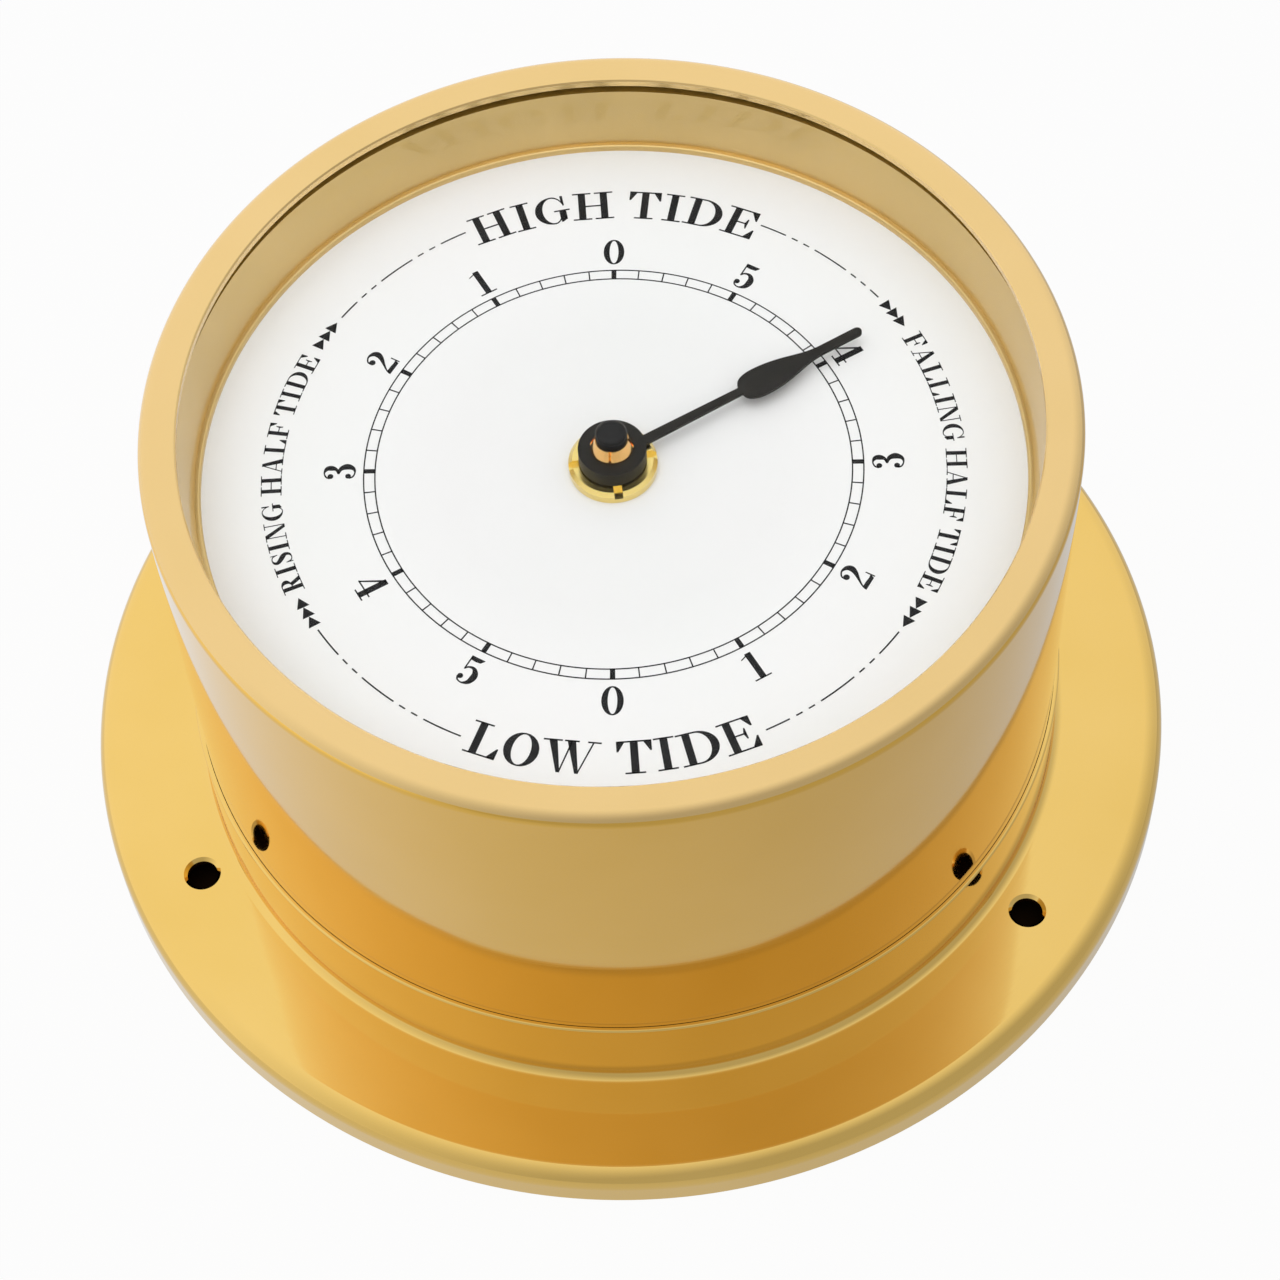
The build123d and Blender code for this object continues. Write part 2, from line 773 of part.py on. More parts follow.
# Split brass collet that grips the pipe above the hand
with BuildPart() as hand_collet:
    with BuildSketch(Plane.XZ):
        with BuildLine():
            Polyline(
                (pipe_stub_radius + seat_gap, hub_top),
                (collet_base_radius, hub_top),
                (collet_base_radius, hub_top + collet_height / 4),
                (collet_top_radius, collet_top),
                (pipe_stub_radius + seat_gap, collet_top),
                close=True,
            )
        make_face()
    revolve(axis=Axis.Z)
    with BuildSketch(Plane.XY.offset(collet_top)):
        with PolarLocations(collet_base_radius, collet_slot_count, start_angle=collet_turn):
            Rectangle(2 * (collet_base_radius - pipe_stub_radius), collet_slot_width)
    extrude(amount=-collet_height * 3 / 4, mode=Mode.SUBTRACT)
finish(hand_collet, "hand_collet")

# Black cap on the end of the pipe
with BuildPart() as hand_cap:
    with BuildSketch(Plane.XY.offset(collet_top)):
        Circle(cap_radius)
    extrude(amount=cap_height)
    fillet(hand_cap.edges().group_by(Axis.Z)[-1], radius=cap_round)
    with BuildSketch(Plane.XY.offset(collet_top)):
        Circle(pipe_stub_radius + seat_gap)
    extrude(amount=stub_top + seat_gap - collet_top, mode=Mode.SUBTRACT)
finish(hand_cap, "hand_cap")

# Motion wheel with its pinion, running on the housing's pin
with BuildPart() as motion_wheel:
    with BuildSketch(Plane.XY.offset(motion_low)):
        draw_gear(motion_teeth, motion_module, motion_place, motion_turn)
    extrude(amount=wheel_thickness)
    with BuildSketch(Plane.XY.offset(motion_top)):
        draw_gear(motion_pinion_teeth, tide_module, motion_place, motion_pinion_turn)
    extrude(amount=tide_top - motion_top)
    with BuildSketch(Plane.XY.offset(motion_low)):
        with Locations(motion_place):
            Circle(motion_pin_radius + running_gap)
    extrude(amount=tide_top - motion_low, mode=Mode.SUBTRACT)
finish(motion_wheel, "motion_wheel")

# Centre arbor with its pinion, turning in the pipe, the middle plate and the rear cover
with BuildPart() as centre_arbor:
    with BuildSketch(Plane.XY.offset(motion_low)):
        draw_gear(centre_pinion_teeth, motion_module, centre_place, centre_pinion_turn)
    extrude(amount=wheel_thickness)
    with BuildSketch(Plane.XY.offset(cover_inner - pivot_depth)):
        Circle(arbor_radius)
    extrude(amount=hand_low - end_float - cover_inner + pivot_depth)
finish(centre_arbor, "centre_arbor")

# Clutch wheel, which drives the centre arbor by friction and slips when the hand is set
with BuildPart() as clutch_wheel:
    with BuildSketch(Plane.XY.offset(clutch_low)):
        draw_gear(clutch_teeth, train_module, centre_place, clutch_turn)
    extrude(amount=clutch_thickness)
    with BuildSketch(Plane.XY.offset(clutch_low)):
        Circle(train_hub_radius)
    extrude(amount=-train_drop)
    with BuildSketch(Plane.XY.offset(clutch_low - train_drop)):
        Circle(arbor_radius + running_gap)
    extrude(amount=clutch_thickness + train_drop, mode=Mode.SUBTRACT)
finish(clutch_wheel, "clutch_wheel")

# Third wheel, whose pinion drives the clutch wheel
with BuildPart() as third_wheel:
    with BuildSketch(Plane.XY.offset(third_low)):
        draw_gear(third_teeth, train_module, third_place, third_turn)
    extrude(amount=train_thickness)
    with BuildSketch(Plane.XY.offset(third_top)):
        draw_gear(train_pinion_teeth, train_module, third_place, third_pinion_turn)
    extrude(amount=clutch_top - third_top)
    with BuildSketch(Plane.XY.offset(cover_inner - pivot_depth)):
        with Locations(third_place):
            Circle(train_arbor_radius)
    extrude(amount=plate_top - cover_inner + pivot_depth)
finish(third_wheel, "third_wheel")

# Step wheel between the rotor and the third wheel
with BuildPart() as step_wheel:
    with BuildSketch(Plane.XY.offset(step_low)):
        draw_gear(step_teeth, train_module, step_place, step_turn)
    extrude(amount=train_thickness)
    with BuildSketch(Plane.XY.offset(step_top)):
        draw_gear(train_pinion_teeth, train_module, step_place, step_pinion_turn)
    extrude(amount=third_top + end_float - step_top)
    with BuildSketch(Plane.XY.offset(cover_inner - pivot_depth)):
        with Locations(step_place):
            Circle(train_arbor_radius)
    extrude(amount=plate_top - cover_inner + pivot_depth)
finish(step_wheel, "step_wheel")

# Rotor: a round magnet on an arbor with a pinion
with BuildPart() as rotor:
    with BuildSketch(Plane.XY.offset(magnet_low)):
        with Locations(rotor_place):
            Circle(rotor_radius)
    extrude(amount=rotor_height)
    with BuildSketch(Plane.XY.offset(step_low - rotor_pinion_overlap)):
        draw_gear(train_pinion_teeth, train_module, rotor_place, rotor_pinion_turn)
    extrude(amount=train_thickness + 2 * rotor_pinion_overlap)
    with BuildSketch(Plane.XY.offset(cover_inner - pivot_depth)):
        with Locations(rotor_place):
            Circle(train_arbor_radius)
    extrude(amount=plate_top - cover_inner + pivot_depth)
finish(rotor, "rotor")

# Coil along the top of the gear room, its steel core and the stator plate round the rotor
coil_left = -inner_side / 2 + coil_left_gap
coil_right = coil_left + coil_length
coil_middle = (coil_left + coil_right) / 2
core_length = coil_length + 2 * core_overhang
left_end = (coil_left - core_overhang / 2, coil_side)
right_end = (coil_right + core_overhang / 2, coil_side)
right_turn = (right_end[0], rotor_place[1] + stator_leg_width)
with BuildPart() as stator_plate:
    with BuildSketch(Plane.XY.offset(stator_low)):
        with Locations(rotor_place):
            Circle(stator_eye_radius)
        with BuildLine():
            Polyline(left_end, (left_end[0], rotor_place[1]), rotor_place, right_turn, right_end)
        trace(line_width=core_overhang)
        with Locations(rotor_place):
            Circle(rotor_radius + rotor_gap, mode=Mode.SUBTRACT)
    extrude(amount=stator_thickness)
finish(stator_plate, "stator_plate")

with BuildPart() as coil_core:
    with BuildSketch(Plane.XY.offset(stator_top)):
        with Locations((coil_middle, coil_side)):
            Rectangle(core_length, core_width)
    extrude(amount=core_thickness)
finish(coil_core, "coil_core")

# The coil's axis runs along +X
coil_plane = Plane((coil_left, coil_side, coil_height), x_dir=(0, 1, 0), z_dir=(1, 0, 0))
spool_radius = core_width / 2 + bobbin_wall
with BuildPart() as coil_bobbin:
    with BuildSketch(coil_plane):
        Circle(spool_radius)
    extrude(amount=coil_length)
    with BuildSketch(coil_plane, coil_plane.offset(coil_length - bobbin_flange)):
        Circle(bobbin_flange_radius)
    extrude(amount=bobbin_flange)
    with BuildSketch(coil_plane):
        Rectangle(core_width + 2 * seat_gap, core_thickness + 2 * seat_gap)
    extrude(amount=coil_length, mode=Mode.SUBTRACT)
finish(coil_bobbin, "coil_bobbin")

with BuildPart() as coil_winding:
    with BuildSketch(coil_plane.offset(bobbin_flange + seat_gap)):
        Circle(coil_radius)
        Circle(spool_radius + seat_gap, mode=Mode.SUBTRACT)
    extrude(amount=coil_length - 2 * bobbin_flange - 2 * seat_gap)
finish(coil_winding, "coil_winding")

# Setting arbor, whose gear turns the motion wheel
with BuildPart() as setting_arbor:
    with BuildSketch(Plane.XY.offset(motion_low)):
        draw_gear(setting_teeth, motion_module, setting_place, setting_turn)
    extrude(amount=wheel_thickness)
    with BuildSketch(Plane.XY.offset(housing_foot - knob_gap - knob_shaft_grip)):
        with Locations(setting_place):
            Circle(setting_shaft_radius)
    extrude(amount=housing_inner - setting_end_gap - housing_foot + knob_gap + knob_shaft_grip)
finish(setting_arbor, "setting_arbor")

# Fluted knob on the setting arbor, behind the movement
with BuildPart() as setting_knob:
    with BuildSketch(Plane.XY.offset(housing_foot - knob_gap)):
        with Locations(setting_place):
            Circle(knob_radius)
            with PolarLocations(knob_radius, knob_flute_count):
                Circle(knob_flute_radius, mode=Mode.SUBTRACT)
    extrude(amount=-knob_height)
    with BuildSketch(Plane.XY.offset(housing_foot - knob_gap)):
        with Locations(setting_place):
            Circle(setting_shaft_radius + seat_gap)
    extrude(amount=-knob_shaft_grip - seat_gap, mode=Mode.SUBTRACT)
finish(setting_knob, "setting_knob")

# Battery lying in its bay, with its axis along +X and its positive end to the right
battery_height = housing_inner - end_float - battery_radius
battery_start = -battery_length / 2
battery_plane = Plane((battery_start, bay_middle, battery_height), x_dir=(0, 1, 0), z_dir=(1, 0, 0))
with BuildPart() as battery_cell:
    with BuildSketch(battery_plane):
        Circle(battery_radius)
    extrude(amount=battery_length - battery_nub_length)
    fillet(battery_cell.edges().filter_by(GeomType.CIRCLE), radius=battery_edge)
    with BuildSketch(battery_plane.offset(battery_length - battery_nub_length)):
        Circle(battery_nub_radius)
    extrude(amount=battery_nub_length)
finish(battery_cell, "battery_cell")

# Sprung contacts at the ends of the bay
contact_reach = contact_room - contact_thickness - 2 * contact_gap
for contact_name, side in (("positive_contact", 1), ("negative_contact", -1)):
    wall_face = side * (inner_side / 2 - contact_gap)
    contact_plane = Plane((wall_face, bay_middle, battery_height), x_dir=(0, 1, 0), z_dir=(-side, 0, 0))
    with BuildPart() as contact:
        with BuildSketch(contact_plane):
            Rectangle(contact_width, contact_height)
        extrude(amount=contact_thickness)
        with BuildSketch(contact_plane.offset(contact_thickness)):
            Circle(contact_button_radius)
        extrude(amount=contact_reach)
    finish(contact, contact_name)

# Circuit board on the rear cover, with its chip and quartz crystal
board_left = board_centre_gap
board_length = pillar_side - pillar_radius - board_pillar_gap - board_left
board_low = room_low + board_low_gap
board_middle = (board_left + board_length / 2, board_low + board_width / 2)
board_top = cover_inner + board_thickness
with BuildPart() as circuit_board:
    with BuildSketch(Plane.XY.offset(cover_inner)):
        with Locations(board_middle):
            Rectangle(board_length, board_width)
    extrude(amount=board_thickness)
finish(circuit_board, "circuit_board")

chip_place = (board_middle[0] - board_length / 4, board_middle[1])
with BuildPart() as clock_chip:
    with BuildSketch(Plane.XY.offset(board_top)):
        with Locations(chip_place):
            Circle(chip_radius)
    extrude(amount=chip_height)
    fillet(clock_chip.edges().group_by(Axis.Z)[-1], radius=chip_height * 2 / 3)
finish(clock_chip, "clock_chip")

crystal_start = (board_middle[0] + board_length / 4, board_middle[1] - crystal_length / 2)
crystal_plane = Plane(
    (crystal_start[0], crystal_start[1], board_top + crystal_radius),
    x_dir=(1, 0, 0),
    z_dir=(0, 1, 0),
)
with BuildPart() as quartz_crystal:
    with BuildSketch(crystal_plane):
        Circle(crystal_radius)
    extrude(amount=crystal_length)
finish(quartz_crystal, "quartz_crystal")

print("centre distance", gear_centre_distance, "tide module", round(tide_module, 4))
print("turns of the centre arbor to one of the hand",
      round(tide_teeth * motion_teeth / (motion_pinion_teeth * centre_pinion_teeth), 4))
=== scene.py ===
from math import cos, pi, radians, sin, tan

import bmesh
import bpy
from mathutils import Matrix, Quaternion, Vector


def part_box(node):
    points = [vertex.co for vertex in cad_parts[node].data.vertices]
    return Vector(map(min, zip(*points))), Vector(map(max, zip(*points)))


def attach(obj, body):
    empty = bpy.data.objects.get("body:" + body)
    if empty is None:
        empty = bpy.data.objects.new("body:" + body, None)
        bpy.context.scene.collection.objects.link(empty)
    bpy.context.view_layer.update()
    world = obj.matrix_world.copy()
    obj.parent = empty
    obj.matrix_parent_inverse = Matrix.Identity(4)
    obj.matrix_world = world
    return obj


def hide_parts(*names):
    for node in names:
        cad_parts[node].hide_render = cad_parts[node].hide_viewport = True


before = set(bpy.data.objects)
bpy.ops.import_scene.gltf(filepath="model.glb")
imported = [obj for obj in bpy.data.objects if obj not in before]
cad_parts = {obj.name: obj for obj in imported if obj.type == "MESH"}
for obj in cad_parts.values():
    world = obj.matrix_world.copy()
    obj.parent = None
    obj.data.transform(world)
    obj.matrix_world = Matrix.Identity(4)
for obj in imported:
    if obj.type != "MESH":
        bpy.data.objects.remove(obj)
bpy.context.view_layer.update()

# The looks of a tide clock in a polished brass case, in metres.
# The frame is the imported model's: the wall is at z = 0, +Z runs out through the dial,
# and +Y is the dial's high tide mark.

MM = 0.001


def top_of(node):
    """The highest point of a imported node."""
    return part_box(node)[1].z


def foot_of(node):
    """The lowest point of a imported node."""
    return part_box(node)[0].z


def radius_of(node):
    """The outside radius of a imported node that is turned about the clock's axis."""
    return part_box(node)[1].x


# Brass flange
flange_radius = radius_of("mounting_flange")
neck_height = top_of("mounting_flange")
flange_height = 5.6 * MM
flange_sheet = 1.2 * MM
rim_round = 2.4 * MM
neck_sheet = 0.6 * MM
neck_fillet = 1.2 * MM
neck_edge = 0.28 * MM
seat_gap = 0.05 * MM
hole_neck_distance = 5.35 * MM
hole_radius = 2.1 * MM
hole_chamfer = 0.45 * MM
hole_count = 3
hole_turn = radians(4)

# Brass case
case_radius = radius_of("case_shell")
case_height = top_of("case_shell")
case_wall = 1.8 * MM
bezel_width = 4.9 * MM
front_round = 1.5 * MM
opening_edge = 0.2 * MM
lip_under = top_of("glass_gasket")

# Brass ring between the glass and the dial
stack_radius = radius_of("glass")
glass_under = foot_of("glass")
dial_top = top_of("dial_plate")
rehaut_set_back = 0.7 * MM
rehaut_taper = 1.4 * MM
bead_width = 0.75 * MM
bead_height = 0.9 * MM
bead_round = 0.35 * MM

neck_radius = case_radius + seat_gap + neck_sheet
hole_circle_radius = neck_radius + hole_neck_distance
opening_radius = case_radius - bezel_width

# Fineness of the turned pieces
turning_steps = 256
round_steps = 8
drill_segments = 64
edge_support = 0.15 * MM
sharp_angle = radians(32)


def finish_piece(bm, name, body, slot, *finishes):
    """Make a smooth shaded object of a bmesh and let it ride on a body."""
    mesh = bpy.data.meshes.new(name)
    bm.to_mesh(mesh)
    bm.free()
    mesh.shade_smooth()
    mesh.set_sharp_from_angle(angle=sharp_angle)
    for finish in finishes:
        mesh.materials.append(finish)
    piece = bpy.data.objects.new(name, mesh)
    bpy.context.scene.collection.objects.link(piece)
    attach(piece, body)
    return piece


def rounded(before, corner, after, radius):
    """The points of a round at a corner, with a support point on each side of it."""
    inward = (corner - before).normalized()
    outward = (after - corner).normalized()
    turn = inward.angle_signed(outward)
    reach = radius * abs(tan(turn / 2))
    start = corner - inward * reach
    side = inward.orthogonal() * (-1 if turn < 0 else 1)
    centre = start - side * radius
    points = [start - inward * edge_support]
    for step in range(round_steps + 1):
        arm = side.copy()
        arm.rotate(Matrix.Rotation(-turn * step / round_steps, 2))
        points.append(centre + arm * radius)
    points.append(corner + outward * (reach + edge_support))
    return points


def turned(corners):
    """Spin a closed outline about the axis. A corner is (radius, height), and a round if it has one."""
    places = [Vector(corner[:2]) for corner in corners]
    outline = []
    for index, corner in enumerate(corners):
        if len(corner) == 2:
            outline.append(places[index])
        else:
            after = places[(index + 1) % len(places)]
            outline += rounded(places[index - 1], places[index], after, corner[2])
    bm = bmesh.new()
    loop = [bm.verts.new((point.x, 0, point.y)) for point in outline]
    for start, end in zip(loop, loop[1:] + loop[:1]):
        bm.edges.new((start, end))
    bmesh.ops.spin(
        bm,
        geom=bm.verts[:] + bm.edges[:],
        cent=(0, 0, 0),
        axis=(0, 0, 1),
        angle=2 * pi,
        steps=turning_steps,
        use_merge=True,
    )
    bmesh.ops.recalc_face_normals(bm, faces=bm.faces[:])
    return bm


# Gloss of the finishes
coat_weight = 0.6
coat_roughness = 0.03
matt_specular = 0.2
glass_bend = 1.12

# The dial is painted paler from three to seven tenths of this radius, in millimetres: painted light against
# the shade of the case wall on the dial's edge
dial_painted_light_radius = 72.0


def start_finish(name):
    """A material with its shader, and a pattern space in millimetres centred on the clock."""
    finish = bpy.data.materials.new(name)
    finish.use_nodes = True
    tree = finish.node_tree
    coordinates = tree.nodes.new("ShaderNodeTexCoord")
    mapping = tree.nodes.new("ShaderNodeMapping")
    mapping.inputs["Scale"].default_value = (1 / MM, 1 / MM, 1 / MM)
    tree.links.new(coordinates.outputs["Object"], mapping.inputs["Vector"])
    return finish, tree, tree.nodes["Principled BSDF"], mapping.outputs["Vector"]


def noise(tree, vector, scale, detail=2.0):
    """A noise pattern of so many grains to the millimetre."""
    texture = tree.nodes.new("ShaderNodeTexNoise")
    texture.inputs["Scale"].default_value = scale
    texture.inputs["Detail"].default_value = detail
    tree.links.new(vector, texture.inputs["Vector"])
    return texture.outputs["Fac"]


def from_axis(tree, vector):
    """How far a point is from the clock's axis."""
    flat = tree.nodes.new("ShaderNodeVectorMath")
    flat.operation = "MULTIPLY"
    flat.inputs[1].default_value = (1, 1, 0)
    tree.links.new(vector, flat.inputs[0])
    radius = tree.nodes.new("ShaderNodeVectorMath")
    radius.operation = "LENGTH"
    tree.links.new(flat.outputs["Vector"], radius.inputs[0])
    return radius.outputs["Value"]


def lathe_lines(tree, vector, scale):
    """Fine lines that run round the clock's axis, as a lathe leaves them."""
    split = tree.nodes.new("ShaderNodeSeparateXYZ")
    tree.links.new(vector, split.inputs["Vector"])
    across = tree.nodes.new("ShaderNodeMath")
    across.operation = "ADD"
    tree.links.new(from_axis(tree, vector), across.inputs[0])
    tree.links.new(split.outputs["Z"], across.inputs[1])
    texture = tree.nodes.new("ShaderNodeTexNoise")
    texture.noise_dimensions = "1D"
    texture.inputs["Scale"].default_value = scale
    texture.inputs["Detail"].default_value = 3.0
    tree.links.new(across.outputs["Value"], texture.inputs["W"])
    return texture.outputs["Fac"]


def spread(tree, value, low, high, socket):
    """Drive a shader's socket with a pattern, between two values."""
    reach = tree.nodes.new("ShaderNodeMapRange")
    reach.inputs["From Min"].default_value = 0.3
    reach.inputs["From Max"].default_value = 0.7
    reach.inputs["To Min"].default_value = low
    reach.inputs["To Max"].default_value = high
    tree.links.new(value, reach.inputs["Value"])
    tree.links.new(reach.outputs["Result"], socket)


def tint(tree, value, first, second, socket):
    """Drive a colour socket with a pattern, between two colours."""
    ramp = tree.nodes.new("ShaderNodeValToRGB")
    ramp.color_ramp.elements[0].position = 0.3
    ramp.color_ramp.elements[0].color = (*first, 1)
    ramp.color_ramp.elements[1].position = 0.7
    ramp.color_ramp.elements[1].color = (*second, 1)
    tree.links.new(value, ramp.inputs["Fac"])
    tree.links.new(ramp.outputs["Color"], socket)


def raise_grain(tree, shader, value, height):
    """Lift a surface by a pattern, so many metres high, on top of any pattern before it."""
    bump = tree.nodes.new("ShaderNodeBump")
    bump.inputs["Distance"].default_value = height
    tree.links.new(value, bump.inputs["Height"])
    for link in shader.inputs["Normal"].links:
        tree.links.new(link.from_socket, bump.inputs["Normal"])
    tree.links.new(bump.outputs["Normal"], shader.inputs["Normal"])


def brass_finish(name, dark, pale, low, high, lines, depth, wave):
    """Lacquered brass with lathe lines and a slow wave, its colour and gloss drifting a little."""
    finish, tree, shader, place = start_finish(name)
    shader.inputs["Metallic"].default_value = 1.0
    shader.inputs["Coat Weight"].default_value = coat_weight
    shader.inputs["Coat Roughness"].default_value = coat_roughness
    tint(tree, noise(tree, place, 0.05), dark, pale, shader.inputs["Base Color"])
    turned_lines = lathe_lines(tree, place, lines)
    spread(tree, turned_lines, low, high, shader.inputs["Roughness"])
    raise_grain(tree, shader, turned_lines, depth)
    raise_grain(tree, shader, noise(tree, place, 0.06, 1.0), wave)
    return finish


def metal_finish(name, dark, pale, low, high, grain):
    """Plain metal with a fine grain."""
    finish, tree, shader, place = start_finish(name)
    shader.inputs["Metallic"].default_value = 1.0
    fine = noise(tree, place, grain)
    tint(tree, fine, dark, pale, shader.inputs["Base Color"])
    spread(tree, noise(tree, place, grain / 4), low, high, shader.inputs["Roughness"])
    return finish


def matt_finish(name, dark, pale, low, high, grain, height):
    """Moulded plastic, rubber or paint with a fine raised grain."""
    finish, tree, shader, place = start_finish(name)
    shader.inputs["Specular IOR Level"].default_value = matt_specular
    fine = noise(tree, place, grain)
    tint(tree, noise(tree, place, grain / 20), dark, pale, shader.inputs["Base Color"])
    spread(tree, fine, low, high, shader.inputs["Roughness"])
    raise_grain(tree, shader, fine, height)
    return finish


def dial_finish():
    """White enamel, painted a little paler towards the rim: painted light against the shade of the case wall
    on its edge.
    """
    finish, tree, shader, place = start_finish("white_dial_enamel")
    shader.inputs["Specular IOR Level"].default_value = matt_specular
    share = tree.nodes.new("ShaderNodeMath")
    share.operation = "DIVIDE"
    share.inputs[1].default_value = dial_painted_light_radius
    tree.links.new(from_axis(tree, place), share.inputs[0])
    tint(tree, share.outputs["Value"], (0.84, 0.84, 0.84), (0.925, 0.93, 0.935), shader.inputs["Base Color"])
    fine = noise(tree, place, 5.0)
    spread(tree, fine, 0.35, 0.5, shader.inputs["Roughness"])
    raise_grain(tree, shader, fine, 1e-6)
    return finish


def glass_finish():
    """Clear flat glass that lets the light of the lamps through."""
    finish, tree, shader, place = start_finish("clear_glass")
    shader.inputs["Transmission Weight"].default_value = 1.0
    shader.inputs["Roughness"].default_value = 0.0
    shader.inputs["IOR"].default_value = glass_bend
    tint(tree, noise(tree, place, 0.03), (0.985, 0.995, 0.99), (1, 1, 1), shader.inputs["Base Color"])
    clear = tree.nodes.new("ShaderNodeBsdfTransparent")
    path = tree.nodes.new("ShaderNodeLightPath")
    mix = tree.nodes.new("ShaderNodeMixShader")
    tree.links.new(path.outputs["Is Shadow Ray"], mix.inputs["Fac"])
    tree.links.new(shader.outputs["BSDF"], mix.inputs[1])
    tree.links.new(clear.outputs["BSDF"], mix.inputs[2])
    tree.links.new(mix.outputs["Shader"], tree.nodes["Material Output"].inputs["Surface"])
    return finish


finishes = {
    "polished_brass": brass_finish(
        "polished_brass_sheet", (0.87, 0.575, 0.14), (0.90, 0.605, 0.165), 0.035, 0.075, 2.5, 0.4e-6, 60e-6
    ),
    "turned_brass": brass_finish(
        "turned_brass", (0.86, 0.60, 0.24), (0.885, 0.62, 0.26), 0.18, 0.26, 9.0, 0.6e-6, 5e-6
    ),
    "inner_brass": brass_finish(
        "satin_brass", (0.69, 0.49, 0.185), (0.73, 0.52, 0.205), 0.34, 0.42, 9.0, 1e-6, 5e-6
    ),
    "glass": glass_finish(),
    "black_rubber": matt_finish(
        "brown_rubber_sheet", (0.09, 0.045, 0.01), (0.12, 0.06, 0.014), 0.6, 0.8, 6.0, 5e-6
    ),
    "dial_white": dial_finish(),
    "black_plastic": matt_finish(
        "black_moulded_plastic", (0.015, 0.015, 0.016), (0.024, 0.024, 0.026), 0.4, 0.55, 4.0, 6e-6
    ),
    "white_plastic": matt_finish(
        "white_moulded_plastic", (0.72, 0.71, 0.67), (0.80, 0.79, 0.76), 0.3, 0.45, 4.0, 3e-6
    ),
    "hand_black": matt_finish(
        "black_hand_lacquer", (0.010, 0.009, 0.007), (0.016, 0.014, 0.011), 0.4, 0.55, 8.0, 2e-6
    ),
    "cap_black": matt_finish(
        "black_cap_lacquer", (0.006, 0.006, 0.006), (0.01, 0.01, 0.01), 0.12, 0.2, 8.0, 1e-6
    ),
    "screw_steel": metal_finish("zinc_plated_steel", (0.5, 0.5, 0.49), (0.62, 0.62, 0.6), 0.2, 0.35, 4.0),
    "arbor_steel": metal_finish("ground_steel", (0.48, 0.48, 0.48), (0.58, 0.58, 0.58), 0.15, 0.25, 6.0),
    "soft_iron": metal_finish("soft_iron_plate", (0.36, 0.36, 0.36), (0.44, 0.44, 0.43), 0.3, 0.45, 4.0),
    "magnet": metal_finish("rotor_magnet", (0.13, 0.13, 0.14), (0.18, 0.18, 0.19), 0.4, 0.55, 6.0),
    "copper_wire": metal_finish("copper_winding", (0.72, 0.32, 0.16), (0.82, 0.4, 0.22), 0.25, 0.35, 8.0),
    "board_green": matt_finish(
        "green_circuit_board", (0.012, 0.10, 0.035), (0.02, 0.14, 0.05), 0.3, 0.45, 5.0, 2e-6
    ),
    "resin_black": matt_finish(
        "black_chip_resin", (0.008, 0.008, 0.008), (0.014, 0.014, 0.014), 0.2, 0.35, 5.0, 4e-6
    ),
    "crystal_can": metal_finish("crystal_can_steel", (0.62, 0.62, 0.6), (0.7, 0.7, 0.68), 0.12, 0.2, 6.0),
    "battery_jacket": matt_finish(
        "grey_battery_jacket", (0.16, 0.17, 0.18), (0.2, 0.21, 0.22), 0.25, 0.35, 5.0, 1e-6
    ),
    "nickel": metal_finish("nickel_plated_spring", (0.58, 0.56, 0.52), (0.66, 0.64, 0.6), 0.15, 0.28, 5.0),
}

# Finishes of this clock's own pieces, beside those of the slots
tube_brass = brass_finish(
    "polished_brass_tube", (0.86, 0.515, 0.075), (0.89, 0.54, 0.095), 0.035, 0.075, 2.5, 0.4e-6, 60e-6
)
own_finishes = {
    "dial_nut": brass_finish(
        "yellow_nut_brass", (0.86, 0.66, 0.2), (0.9, 0.7, 0.24), 0.16, 0.26, 6.0, 2e-6, 5e-6
    ),
    "hand_collet": brass_finish(
        "red_collet_brass", (0.88, 0.5, 0.15), (0.9, 0.54, 0.18), 0.1, 0.18, 6.0, 1e-6, 5e-6
    ),
}
# Matt brown for the ring's top under the glass: painted reflection of the light bouncing under the lip
bounce_painted_brown = matt_finish("brown_painted_reflection", (0.42, 0.22, 0.03), (0.48, 0.26, 0.04), 0.6, 0.8, 6.0, 5e-6)
print_ink = matt_finish(
    "black_printing_ink", (0.007, 0.007, 0.008), (0.012, 0.012, 0.013), 0.5, 0.65, 6.0, 1e-6
)


def dress_nodes():
    """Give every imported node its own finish, or the finish of its slot."""
    for name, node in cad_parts.items():
        for place in node.material_slots:
            place.material = own_finishes.get(name, finishes[place.material.name])


def make_flange():
    """Pressed pan with a rounded rim, a neck round the case, and three countersunk holes."""
    under_flange = flange_height - flange_sheet
    under_rim = flange_radius - flange_sheet
    bm = turned(
        (
            (flange_radius, 0),
            (flange_radius, flange_height, rim_round),
            (neck_radius, flange_height, neck_fillet),
            (neck_radius, neck_height, neck_edge),
            (neck_radius - neck_sheet, neck_height),
            (neck_radius - neck_sheet, under_flange),
            (under_rim, under_flange, rim_round - flange_sheet),
            (under_rim, 0),
        )
    )
    piece = finish_piece(bm, "flange_brass", "case", "polished_brass", finishes["polished_brass"])
    drill(piece)
    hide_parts("mounting_flange")


